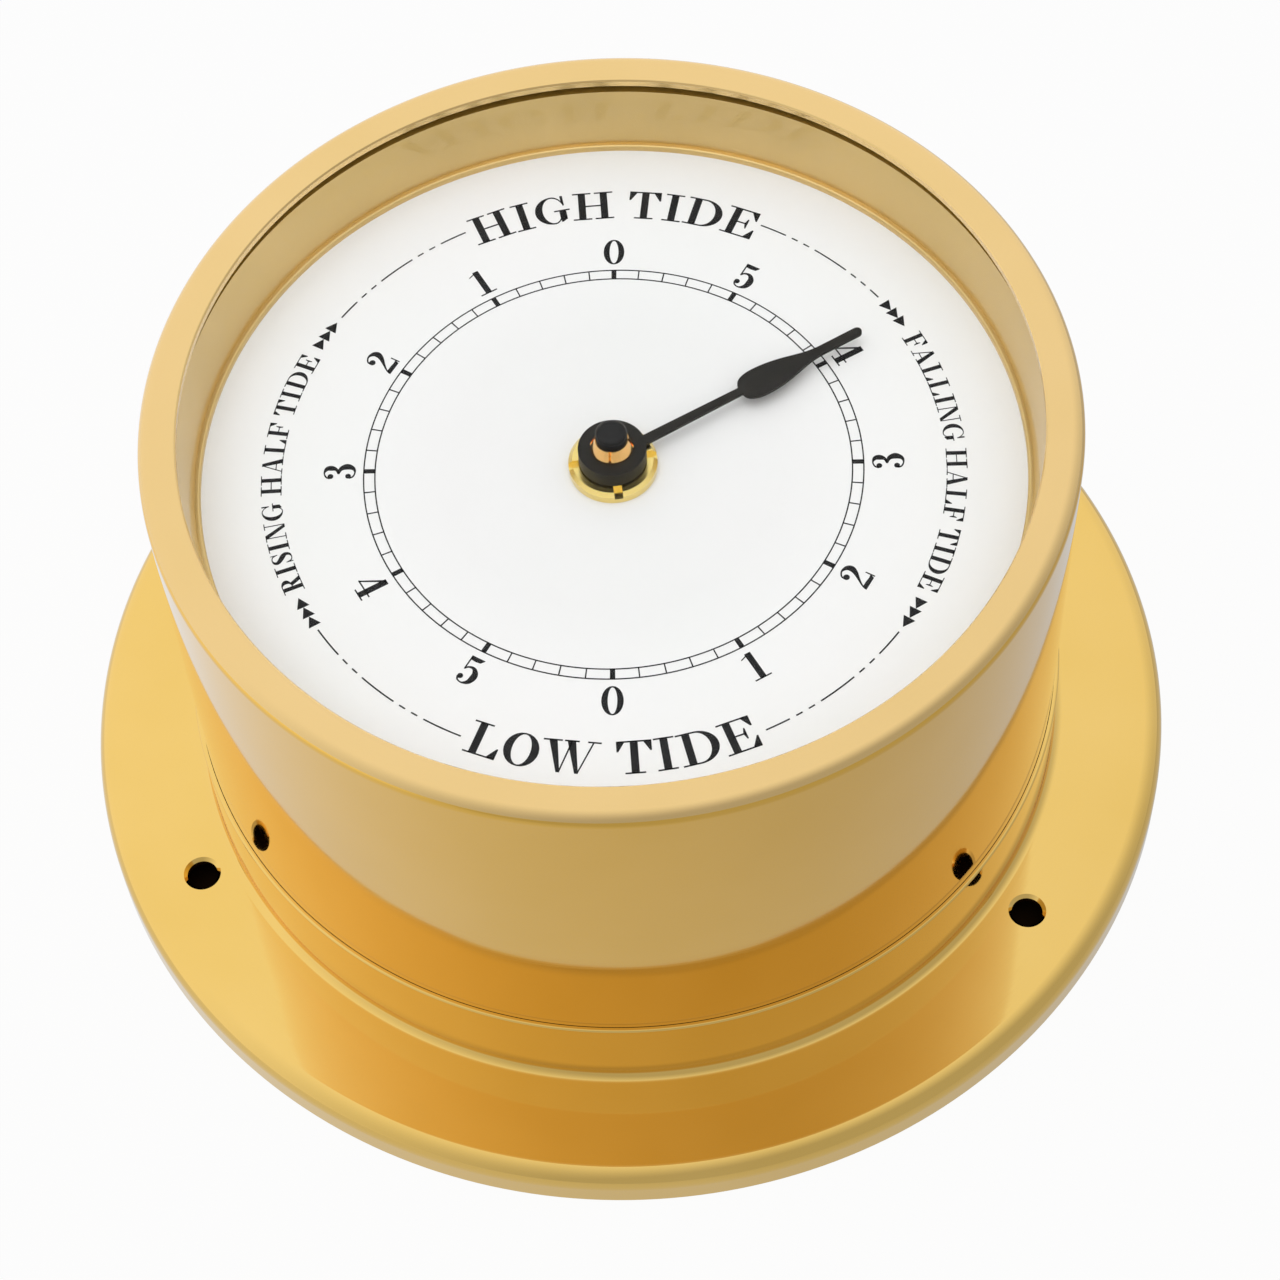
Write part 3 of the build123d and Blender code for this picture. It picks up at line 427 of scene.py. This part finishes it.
def drill(piece):
    """Cut the countersunk mounting holes out of the flange."""
    bm = bmesh.new()
    for index in range(hole_count):
        angle = pi / 2 - hole_turn - 2 * pi * index / hole_count
        place = Matrix.Translation(
            (hole_circle_radius * cos(angle), hole_circle_radius * sin(angle), flange_height)
        )
        for bottom, top, low_radius, high_radius in (
            (-2 * flange_sheet, hole_chamfer, hole_radius, hole_radius),
            (-hole_chamfer, hole_chamfer, hole_radius, hole_radius + 2 * hole_chamfer),
        ):
            bmesh.ops.create_cone(
                bm,
                cap_ends=True,
                segments=drill_segments,
                radius1=low_radius,
                radius2=high_radius,
                depth=top - bottom,
                matrix=place @ Matrix.Translation((0, 0, (top + bottom) / 2)),
            )
    mesh = bpy.data.meshes.new("drill")
    bm.to_mesh(mesh)
    bm.free()
    cutter = bpy.data.objects.new("drill", mesh)
    bpy.context.scene.collection.objects.link(cutter)
    cut = piece.modifiers.new("holes", "BOOLEAN")
    cut.object = cutter
    cut.operation = "DIFFERENCE"
    cut.solver = "EXACT"
    cut.use_self = True
    graph = bpy.context.evaluated_depsgraph_get()
    piece.data = bpy.data.meshes.new_from_object(piece.evaluated_get(graph))
    piece.modifiers.clear()
    bpy.data.objects.remove(cutter)
    piece.data.set_sharp_from_angle(angle=sharp_angle)


def make_case():
    """Tube with a rounded front edge and a lip over the glass. Its face is left as turned."""
    bm = turned(
        (
            (case_radius, 0),
            (case_radius, case_height, front_round),
            (opening_radius + opening_edge, case_height),
            (opening_radius, case_height - opening_edge),
            (opening_radius, lip_under),
            (case_radius - case_wall, lip_under),
            (case_radius - case_wall, 0),
        )
    )
    for face in bm.faces:
        middle = face.calc_center_median()
        on_front = middle.z > case_height - front_round / 2 and face.normal.z > 0
        if on_front or middle.to_2d().length < opening_radius + opening_edge:
            face.material_index = 1
    piece = finish_piece(bm, "case_brass", "case", "polished_brass", tube_brass, finishes["turned_brass"])
    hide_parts("case_shell")


def make_rehaut():
    """Tapered ring between glass and dial, with a round bead at its foot and its top painted brown, a
    painted reflection of the light that bounces under the lip.
    """
    wall_top = opening_radius + rehaut_set_back
    wall_foot = wall_top - rehaut_taper
    bead_radius = wall_foot - bead_width
    bm = turned(
        (
            (bead_radius, dial_top),
            (stack_radius, dial_top),
            (stack_radius, glass_under - seat_gap),
            (wall_top, glass_under - seat_gap),
            (wall_foot, dial_top + bead_height),
            (bead_radius, dial_top + bead_height, bead_round),
        )
    )
    # The ring's top face under the glass is painted brown: painted reflection of light bouncing under the
    # lip
    for face in bm.faces:
        if face.calc_center_median().z > glass_under - 2 * seat_gap:
            face.material_index = 1
    piece = finish_piece(bm, "rehaut_brass", "case", "inner_brass", finishes["inner_brass"], bounce_painted_brown)
    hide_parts("rehaut_ring")


# Dial print: a plain serif of this clock's own, in shares of the capitals' height
stem_share = 0.21
hair_share = 0.045
serif_share = 0.165
round_spans = 24
pen_spans = 6


def bar(left, right, low, high):
    """An upright block."""
    return [[(left, low), (right, low), (right, high), (left, high)]]


def slant(low_left, low_right, high_left, high_right, low=0.0, high=1.0):
    """A leaning block."""
    return [[(low_left, low), (low_right, low), (high_right, high), (high_left, high)]]


def stem(left, width=stem_share):
    """A stem with a flat hairline serif at its head and foot."""
    ends = (left - serif_share, left + width + serif_share)
    return bar(left, left + width, 0, 1) + bar(*ends, 0, hair_share) + bar(*ends, 1 - hair_share, 1)


def wedge(tip, toe, root, heel):
    """A triangular serif on the end of an arm, from its tip's height down to its toe."""
    side = hair_share * (1 if root > tip[0] else -1)
    return [[tip, (tip[0], toe), (tip[0] + side, toe), (root, heel), (root, tip[1])]]


def ribbon(edges):
    """Blocks between pairs of points."""
    return [[a[0], a[1], b[1], b[0]] for a, b in zip(edges, edges[1:])]


def bowl(centre, outer, inner, start, end):
    """Part of a ring between two ellipses, from one angle to another in degrees."""
    edges = []
    for step in range(round_spans + 1):
        angle = radians(start + (end - start) * step / round_spans)
        edges.append(
            tuple((centre[0] + x * cos(angle), centre[1] + y * sin(angle)) for x, y in (outer, inner))
        )
    return ribbon(edges)


def ball(centre, radius):
    """A round dot."""
    angles = [2 * pi * step / round_spans for step in range(round_spans)]
    return [[(centre[0] + radius * cos(angle), centre[1] + radius * sin(angle)) for angle in angles]]


def pen(*points):
    """A stroke through points of (across, up, width), drawn as a smooth curve."""
    places = [Vector(point) for point in points]
    places = [places[0] * 2 - places[1]] + places + [places[-1] * 2 - places[-2]]
    track = []
    for before, start, end, after in zip(places, places[1:], places[2:], places[3:]):
        for step in range(pen_spans):
            share = step / pen_spans
            pull = (end - before) * share + (2 * before - 5 * start + 4 * end - after) * share**2
            track.append(start + (pull + (3 * start - before - 3 * end + after) * share**3) / 2)
    track.append(places[-2])
    edges = []
    for index, point in enumerate(track):
        along = (track[min(index + 1, len(track) - 1)] - track[max(index - 1, 0)]).to_2d().normalized()
        across = Vector((-along.y, along.x)) * point.z / 2
        edges.append((tuple(point.to_2d() + across), tuple(point.to_2d() - across)))
    return ribbon(edges)


def arms(reach):
    """The head of E and F: the stem, the top arm and the middle arm."""
    return (
        stem(0.165)
        + bar(0.3, reach, 1 - hair_share, 1)
        + wedge((reach, 1), 0.68, reach - 0.22, 1 - hair_share)
        + bar(0.3, 0.68, 0.48, 0.48 + hair_share)
        + [[(0.69, 0.33), (0.69, 0.67), (0.655, 0.67), (0.60, 0.5), (0.655, 0.33)]]
    )


foot_arm = bar(0.3, 0.95, 0, hair_share) + [
    [(0.95, 0), (0.95, 0.34), (0.91, 0.34), (0.72, hair_share), (0.72, 0)]
]

# Each glyph's width and shapes
glyph_shares = {
    "A": (
        1.06,
        slant(0.14, 0.19, 0.47, 0.52)
        + slant(0.68, 0.92, 0.43, 0.60)
        + bar(0.24, 0.74, 0.29, 0.29 + hair_share)
        + bar(0, 0.34, 0, hair_share)
        + bar(0.55, 1.06, 0, hair_share),
    ),
    "D": (
        1.08,
        bar(0.165, 0.375, 0, 1)
        + bar(0, 0.52, 0, hair_share)
        + bar(0, 0.52, 1 - hair_share, 1)
        + bowl((0.50, 0.5), (0.58, 0.5), (0.36, 0.455), -90, 90),
    ),
    "E": (0.96, arms(0.91) + foot_arm),
    "F": (0.88, arms(0.86)),
    "G": (
        1.01,
        bowl((0.52, 0.5), (0.52, 0.51), (0.30, 0.465), 90, 270)
        + bowl((0.52, 0.5), (0.36, 0.51), (0.33, 0.465), 25, 90)
        + bowl((0.52, 0.5), (0.28, 0.51), (0.25, 0.465), 270, 330)
        + wedge((0.875, 1), 0.64, 0.80, 0.86)
        + bar(0.70, 0.90, 0.12, 0.46)
        + slant(0.72, 0.76, 0.70, 0.90, 0.04, 0.14)
        + bar(0.55, 1.01, 0.44, 0.44 + hair_share),
    ),
    "H": (1.18, stem(0.165) + stem(0.805) + bar(0.37, 0.81, 0.48, 0.48 + hair_share)),
    "I": (0.55, stem(0.17)),
    "L": (0.91, stem(0.165) + [[(x - 0.05, y) for x, y in shape] for shape in foot_arm]),
    "N": (
        1.08,
        bar(0.17, 0.215, 0, 1)
        + slant(0.72, 0.90, 0.13, 0.36)
        + bar(0.86, 0.905, 0, 1)
        + bar(0.02, 0.37, 0, hair_share)
        + bar(0, 0.35, 1 - hair_share, 1)
        + bar(0.70, 1.06, 1 - hair_share, 1),
    ),
    "O": (0.95, bowl((0.475, 0.5), (0.475, 0.515), (0.255, 0.47), 0, 360)),
    "R": (
        0.97,
        stem(0.165)
        + bar(0.3, 0.46, 1 - hair_share, 1)
        + bar(0.3, 0.46, 0.48, 0.48 + hair_share)
        + bowl((0.44, 0.74), (0.36, 0.26), (0.15, 0.215), -90, 90)
        + slant(0.62, 0.84, 0.40, 0.60, 0, 0.5)
        + bar(0.56, 0.97, 0, hair_share),
    ),
    "S": (
        0.67,
        pen(
            (0.59, 0.74, 0.05),
            (0.52, 0.91, 0.05),
            (0.34, 0.975, 0.05),
            (0.17, 0.89, 0.13),
            (0.15, 0.74, 0.18),
            (0.27, 0.59, 0.22),
            (0.45, 0.43, 0.24),
            (0.55, 0.28, 0.18),
            (0.50, 0.10, 0.12),
            (0.32, 0.025, 0.05),
            (0.15, 0.09, 0.05),
            (0.08, 0.26, 0.05),
        )
        + bar(0.575, 0.615, 0.66, 1)
        + bar(0.05, 0.09, 0, 0.34),
    ),
    "T": (
        0.93,
        stem(0.36)
        + bar(0, 0.93, 1 - hair_share, 1)
        + wedge((0, 1), 0.68, 0.21, 1 - hair_share)
        + wedge((0.93, 1), 0.68, 0.72, 1 - hair_share),
    ),
    "W": (
        1.53,
        slant(0.43, 0.53, 0.14, 0.36)
        + slant(0.48, 0.52, 0.74, 0.785)
        + slant(0.92, 1.02, 0.62, 0.85)
        + slant(0.97, 1.01, 1.31, 1.355)
        + bar(0, 0.50, 1 - hair_share, 1)
        + bar(0.56, 0.95, 1 - hair_share, 1)
        + bar(1.17, 1.53, 1 - hair_share, 1),
    ),
    "0": (0.67, bowl((0.335, 0.5), (0.335, 0.51), (0.145, 0.465), 0, 360)),
    "1": (
        0.55,
        bar(0.18, 0.38, 0, 1)
        + bar(0.0, 0.56, 0, hair_share)
        + [[(0, 0.84), (0.18, 0.90), (0.38, 1), (0.34, 1), (0, 0.875)]],
    ),
    "2": (
        0.63,
        ball((0.14, 0.74), 0.10)
        + pen(
            (0.06, 0.76, 0.05),
            (0.10, 0.89, 0.05),
            (0.27, 0.97, 0.06),
            (0.44, 0.89, 0.15),
            (0.49, 0.75, 0.20),
            (0.42, 0.58, 0.15),
            (0.26, 0.38, 0.08),
            (0.12, 0.20, 0.05),
            (0.05, 0.05, 0.05),
        )
        + [[(0.03, 0), (0.03, 0.05), (0.12, 0.15), (0.30, 0.15), (0.45, 0.13), (0.58, 0.15), (0.52, 0)]]
        + bar(0.565, 0.605, 0.0, 0.32),
    ),
    "3": (
        0.60,
        ball((0.13, 0.78), 0.09)
        + pen(
            (0.05, 0.80, 0.05),
            (0.11, 0.92, 0.05),
            (0.27, 0.975, 0.05),
            (0.42, 0.89, 0.15),
            (0.44, 0.74, 0.18),
            (0.38, 0.60, 0.10),
            (0.22, 0.535, 0.05),
        )
        + pen(
            (0.22, 0.535, 0.05),
            (0.41, 0.46, 0.14),
            (0.49, 0.27, 0.21),
            (0.42, 0.08, 0.13),
            (0.27, 0.02, 0.05),
            (0.11, 0.08, 0.05),
            (0.05, 0.20, 0.05),
        )
        + ball((0.13, 0.23), 0.09),
    ),
    "4": (
        0.70,
        bar(0.38, 0.58, 0, 1)
        + slant(0.0, 0.055, 0.42, 0.50, 0.26, 1)
        + bar(0, 0.70, 0.25, 0.25 + hair_share)
        + bar(0.24, 0.70, 0, hair_share),
    ),
    "5": (
        0.63,
        [[(0.10, 0.86), (0.30, 0.84), (0.46, 0.86), (0.55, 0.98), (0.55, 1), (0.10, 1)]]
        + bar(0.10, 0.145, 0.48, 1)
        + pen(
            (0.12, 0.50, 0.05),
            (0.22, 0.60, 0.06),
            (0.38, 0.61, 0.11),
            (0.50, 0.48, 0.18),
            (0.52, 0.32, 0.21),
            (0.46, 0.13, 0.15),
            (0.29, 0.02, 0.05),
            (0.13, 0.06, 0.05),
            (0.06, 0.18, 0.05),
        )
        + ball((0.14, 0.21), 0.09),
    ),
}
word_gap_share = 0.45

print_lift = 0.03 * MM
weld_distance = 1e-7
line_spans = 3

# Words round the dial: text, middle and reach in degrees clockwise from the high tide mark,
# height, radius of their middle, and whether their tops point outward
words = (
    ("HIGH TIDE", 0.0, 52.2, 4.62 * MM, 43.1 * MM, True),
    ("LOW TIDE", 180.0, 47.6, 4.62 * MM, 43.1 * MM, False),
    ("FALLING HALF TIDE", 89.7, 54.4, 2.65 * MM, 43.7 * MM, True),
    ("RISING HALF TIDE", 270.25, 49.9, 2.65 * MM, 43.7 * MM, True),
)

# Scale of hours
numerals = "054321054321"
numeral_height = 4.1 * MM
numeral_radius = 35.0 * MM
outward_numerals = (0, 1, 2, 9, 10, 11)
track_outer = 31.90 * MM
track_inner = 30.46 * MM
track_line = 0.17 * MM
minute_tick = 0.17 * MM
hour_tick = 0.65 * MM
minute_count = 60
minutes_to_hour = 5

# Dashed line between the words, with short dashes and arrow heads
dash_radius = 43.7 * MM
dash_line = 0.2 * MM
dash_short = 1.2
dash_long = 7.0
dash_runs = ((26.7, 31.65, 52.8), (126.2, 131.5, 154.8), (204.9, 211.8, 236.8), (304.8, 309.0, 332.9))
arrow_starts = (54.3, 118.9, 237.8, 297.3)
arrow_count = 3
arrow_pitch = 2.06
arrow_width = 1.57 * MM
arrow_height = 1.68 * MM


def stand_at(azimuth, radius, outward):
    """A place on the dial, with the ways right and up of what is printed there."""
    up = Vector((sin(azimuth), cos(azimuth)))
    right = Vector((cos(azimuth), -sin(azimuth)))
    if outward:
        return up * radius, right, up
    return up * radius, -right, -up


def ink(bm, shapes, place, right, up, height, middle):
    """Lay shapes on the dial, in shares of a height, with their middle at a place."""
    for shape in shapes:
        points = [place + (right * (x - middle) + up * (y - 0.5)) * height for x, y in shape]
        bm.faces.new([bm.verts.new((*point, dial_top)) for point in points])


def arc(bm, start, end, inner, outer):
    """Lay part of a ring on the dial, between azimuths in degrees."""
    spans = max(1, round(line_spans * abs(end - start)))
    edges = []
    for step in range(spans + 1):
        azimuth = radians(start + (end - start) * step / spans)
        ray = Vector((sin(azimuth), cos(azimuth)))
        edges.append((ray * inner, ray * outer))
    for shape in ribbon(edges):
        bm.faces.new([bm.verts.new((*point, dial_top)) for point in shape])


def finish_print(bm, name):
    """Give a print its thickness and lay it on the dial."""
    bmesh.ops.remove_doubles(bm, verts=bm.verts[:], dist=weld_distance)
    bmesh.ops.recalc_face_normals(bm, faces=bm.faces[:])
    raised = bmesh.ops.extrude_face_region(bm, geom=bm.faces[:], use_keep_orig=True)
    moved = [part for part in raised["geom"] if isinstance(part, bmesh.types.BMVert)]
    bmesh.ops.translate(bm, verts=moved, vec=(0, 0, print_lift))
    bmesh.ops.recalc_face_normals(bm, faces=bm.faces[:])
    finish_piece(bm, name, "case", "hand_black", print_ink)


def make_words():
    """The words of the tide, each letter standing square on its circle."""
    bm = bmesh.new()
    for text, middle, reach, height, radius, outward in words:
        widths = [word_gap_share if letter == " " else glyph_shares[letter][0] for letter in text]
        length = radians(reach) * radius / height
        gaps = len(text) - 1 - 2 * text.count(" ")
        gap = (length - sum(widths)) / gaps
        along = -length / 2
        turn = 1 if outward else -1
        for index, letter in enumerate(text):
            if letter != " ":
                azimuth = radians(middle) + turn * (along + widths[index] / 2) * height / radius
                place = stand_at(azimuth, radius, outward)
                ink(bm, glyph_shares[letter][1], *place, height, widths[index] / 2)
            along += widths[index]
            if letter != " " and text[index + 1 : index + 2] != " ":
                along += gap
    finish_print(bm, "print_words")


def make_numerals():
    """The hours from and to each tide."""
    bm = bmesh.new()
    for index, numeral in enumerate(numerals):
        width, shapes = glyph_shares[numeral]
        azimuth = 2 * pi * index / len(numerals)
        place = stand_at(azimuth, numeral_radius, index in outward_numerals)
        ink(bm, shapes, *place, numeral_height, width / 2)
    finish_print(bm, "print_numerals")


def make_track():
    """The ring of ticks inside the numerals."""
    bm = bmesh.new()
    for radius in (track_outer, track_inner):
        arc(bm, 0, 360, radius - track_line / 2, radius + track_line / 2)
    for index in range(minute_count):
        width = minute_tick if index % minutes_to_hour else hour_tick
        middle = 360 * index / minute_count
        half = 180 / pi * width / (track_outer + track_inner)
        arc(bm, middle - half, middle + half, track_inner, track_outer)
    finish_print(bm, "print_track")


def make_dashes():
    """The dashed line and its arrow heads, clockwise round the dial."""
    bm = bmesh.new()
    edges = (dash_radius - dash_line / 2, dash_radius + dash_line / 2)
    for start, first_end, end in dash_runs:
        place = first_end
        spans = [(start, first_end)]
        for dash in (dash_short, dash_short, dash_long, dash_short, dash_short):
            place += dash_short
            spans.append((place, place + dash))
            place += dash
        spans.append((place + dash_short, end))
        for span in spans:
            arc(bm, *span, *edges)
    for start in arrow_starts:
        for index in range(arrow_count):
            azimuth = radians(start + arrow_pitch * (index + 0.5))
            place, right, up = stand_at(azimuth, dash_radius, True)
            half = right * arrow_width / 2
            rise = up * arrow_height / 2
            points = (place - half - rise, place + half, place - half + rise)
            bm.faces.new([bm.verts.new((*point, dial_top)) for point in points])
    finish_print(bm, "print_dashes")


# Camera: where it looks, from how far, and how it is turned
camera_aim = Vector((3.36, -26.14, 59.3)) * MM
camera_distance = 409.27 * MM
camera_azimuth = radians(2.83)
camera_elevation = radians(57.462)
camera_roll = radians(-3.461)
camera_lens = 93.32
camera_sensor = 36


def place_camera():
    """Look down at the clock from the front, as the photograph does."""
    data = bpy.data.cameras.new("camera")
    data.lens = camera_lens
    data.sensor_width = camera_sensor
    camera = bpy.data.objects.new("camera", data)
    bpy.context.scene.collection.objects.link(camera)
    back = Vector(
        (
            sin(camera_azimuth) * cos(camera_elevation),
            -cos(camera_azimuth) * cos(camera_elevation),
            sin(camera_elevation),
        )
    )
    camera.location = camera_aim + back * camera_distance
    camera.rotation_mode = "QUATERNION"
    camera.rotation_quaternion = back.to_track_quat("Z", "Y") @ Quaternion((0, 0, 1), camera_roll)
    bpy.context.scene.camera = camera


# Studio: a white floor under an even sky, and one large soft lamp high above, a little to the left
floor_size = 4.0
floor_white = 0.95
# Under the flange the floor is painted dark brown: painted shade in the hollow seen through the holes
hollow_painted_shade = (0.03, 0.015, 0.006)
floor_lift = 0.95
sky_level = 0.41
sky_fade = (0.79, -0.28, 0.36)
# The floor as mirrors show it is darker in front and on the right and brighter on the left: painted shade
# round the clock and painted light from the left
floor_painted_shading = (0.70, -1.5, 1.0)
least_level = 0.5
most_level = 1.0
lamp_place = Vector((-0.15, -0.15, 1.4))
lamp_size = 1.2
lamp_power = 3.3


def seen_rays(tree):
    """One for camera, mirror and glass rays, and zero for the light on matt surfaces."""
    path = tree.nodes.new("ShaderNodeLightPath")
    total = path.outputs["Is Camera Ray"]
    for kind in ("Is Glossy Ray", "Is Transmission Ray"):
        total = either(tree, total, path.outputs[kind])
    return total


def either(tree, first, second):
    """The larger of two values."""
    larger = tree.nodes.new("ShaderNodeMath")
    larger.operation = "MAXIMUM"
    tree.links.new(first, larger.inputs[0])
    tree.links.new(second, larger.inputs[1])
    return larger.outputs["Value"]


def studio_level(tree, coordinate, fade):
    """How bright the studio is: white for the camera, darker in front and on the right in mirrors."""
    places = tree.nodes.new("ShaderNodeTexCoord")
    slope = tree.nodes.new("ShaderNodeVectorMath")
    slope.operation = "DOT_PRODUCT"
    slope.inputs[1].default_value = (fade[1], fade[2], 0)
    tree.links.new(places.outputs[coordinate], slope.inputs[0])
    level = tree.nodes.new("ShaderNodeMath")
    level.operation = "ADD"
    level.inputs[1].default_value = fade[0]
    tree.links.new(slope.outputs["Value"], level.inputs[0])
    kept = tree.nodes.new("ShaderNodeClamp")
    kept.inputs["Min"].default_value = least_level
    kept.inputs["Max"].default_value = most_level
    tree.links.new(level.outputs["Value"], kept.inputs["Value"])
    path = tree.nodes.new("ShaderNodeLightPath")
    seen = either(tree, path.outputs["Is Camera Ray"], path.outputs["Is Transmission Ray"])
    return either(tree, kept.outputs["Result"], seen)


def make_studio():
    """The floor, the sky and the lamp."""
    bm = bmesh.new()
    bmesh.ops.create_grid(bm, x_segments=1, y_segments=1, size=floor_size / 2)
    mesh = bpy.data.meshes.new("floor")
    bm.to_mesh(mesh)
    bm.free()
    floor = bpy.data.objects.new("floor", mesh)
    bpy.context.scene.collection.objects.link(floor)
    paper = bpy.data.materials.new("white_paper")
    paper.use_nodes = True
    tree = paper.node_tree
    tree.nodes.remove(tree.nodes["Principled BSDF"])
    matt = tree.nodes.new("ShaderNodeBsdfDiffuse")
    glow = tree.nodes.new("ShaderNodeEmission")
    # The floor's glow carries its painted shade and light into the mirrors
    tree.links.new(studio_level(tree, "Object", floor_painted_shading), glow.inputs["Strength"])
    places = tree.nodes.new("ShaderNodeTexCoord")
    radius = tree.nodes.new("ShaderNodeVectorMath")
    radius.operation = "LENGTH"
    tree.links.new(places.outputs["Object"], radius.inputs[0])
    clear = tree.nodes.new("ShaderNodeMath")
    clear.operation = "GREATER_THAN"
    clear.inputs[1].default_value = flange_radius - flange_sheet
    tree.links.new(radius.outputs["Value"], clear.inputs[0])
    # Painted shade: the floor under the flange takes the dark brown colour
    shade = tree.nodes.new("ShaderNodeMixRGB")
    shade.inputs["Color1"].default_value = (*hollow_painted_shade, 1)
    shade.inputs["Color2"].default_value = (floor_white, floor_white, floor_white, 1)
    tree.links.new(clear.outputs["Value"], shade.inputs["Fac"])
    tree.links.new(shade.outputs["Color"], matt.inputs["Color"])
    lift = tree.nodes.new("ShaderNodeMath")
    lift.operation = "MULTIPLY"
    lift.inputs[1].default_value = floor_lift
    tree.links.new(clear.outputs["Value"], lift.inputs[0])
    share = tree.nodes.new("ShaderNodeMath")
    share.operation = "MULTIPLY"
    mix = tree.nodes.new("ShaderNodeMixShader")
    tree.links.new(seen_rays(tree), share.inputs[0])
    tree.links.new(lift.outputs["Value"], share.inputs[1])
    tree.links.new(share.outputs["Value"], mix.inputs["Fac"])
    tree.links.new(matt.outputs["BSDF"], mix.inputs[1])
    tree.links.new(glow.outputs["Emission"], mix.inputs[2])
    tree.links.new(mix.outputs["Shader"], tree.nodes["Material Output"].inputs["Surface"])
    mesh.materials.append(paper)

    world = bpy.data.worlds.new("studio")
    bpy.context.scene.world = world
    world.use_nodes = True
    tree = world.node_tree
    sky = tree.nodes["Background"]
    sky.inputs["Color"].default_value = (1, 1, 1, 1)
    sky.inputs["Strength"].default_value = sky_level
    white = tree.nodes.new("ShaderNodeBackground")
    white.inputs["Color"].default_value = (1, 1, 1, 1)
    tree.links.new(studio_level(tree, "Generated", sky_fade), white.inputs["Strength"])
    mix = tree.nodes.new("ShaderNodeMixShader")
    tree.links.new(seen_rays(tree), mix.inputs["Fac"])
    tree.links.new(sky.outputs["Background"], mix.inputs[1])
    tree.links.new(white.outputs["Background"], mix.inputs[2])
    tree.links.new(mix.outputs["Shader"], tree.nodes["World Output"].inputs["Surface"])

    data = bpy.data.lights.new("soft_lamp", "AREA")
    data.size = lamp_size
    data.energy = lamp_power
    lamp = bpy.data.objects.new("soft_lamp", data)
    lamp.location = lamp_place
    lamp.rotation_mode = "QUATERNION"
    lamp.rotation_quaternion = lamp_place.to_track_quat("Z", "Y")
    lamp.visible_glossy = False
    bpy.context.scene.collection.objects.link(lamp)


bpy.context.scene.view_settings.view_transform = "Standard"
place_camera()
make_studio()
dress_nodes()
make_flange()
make_case()
make_rehaut()
make_words()
make_numerals()
make_track()
make_dashes()
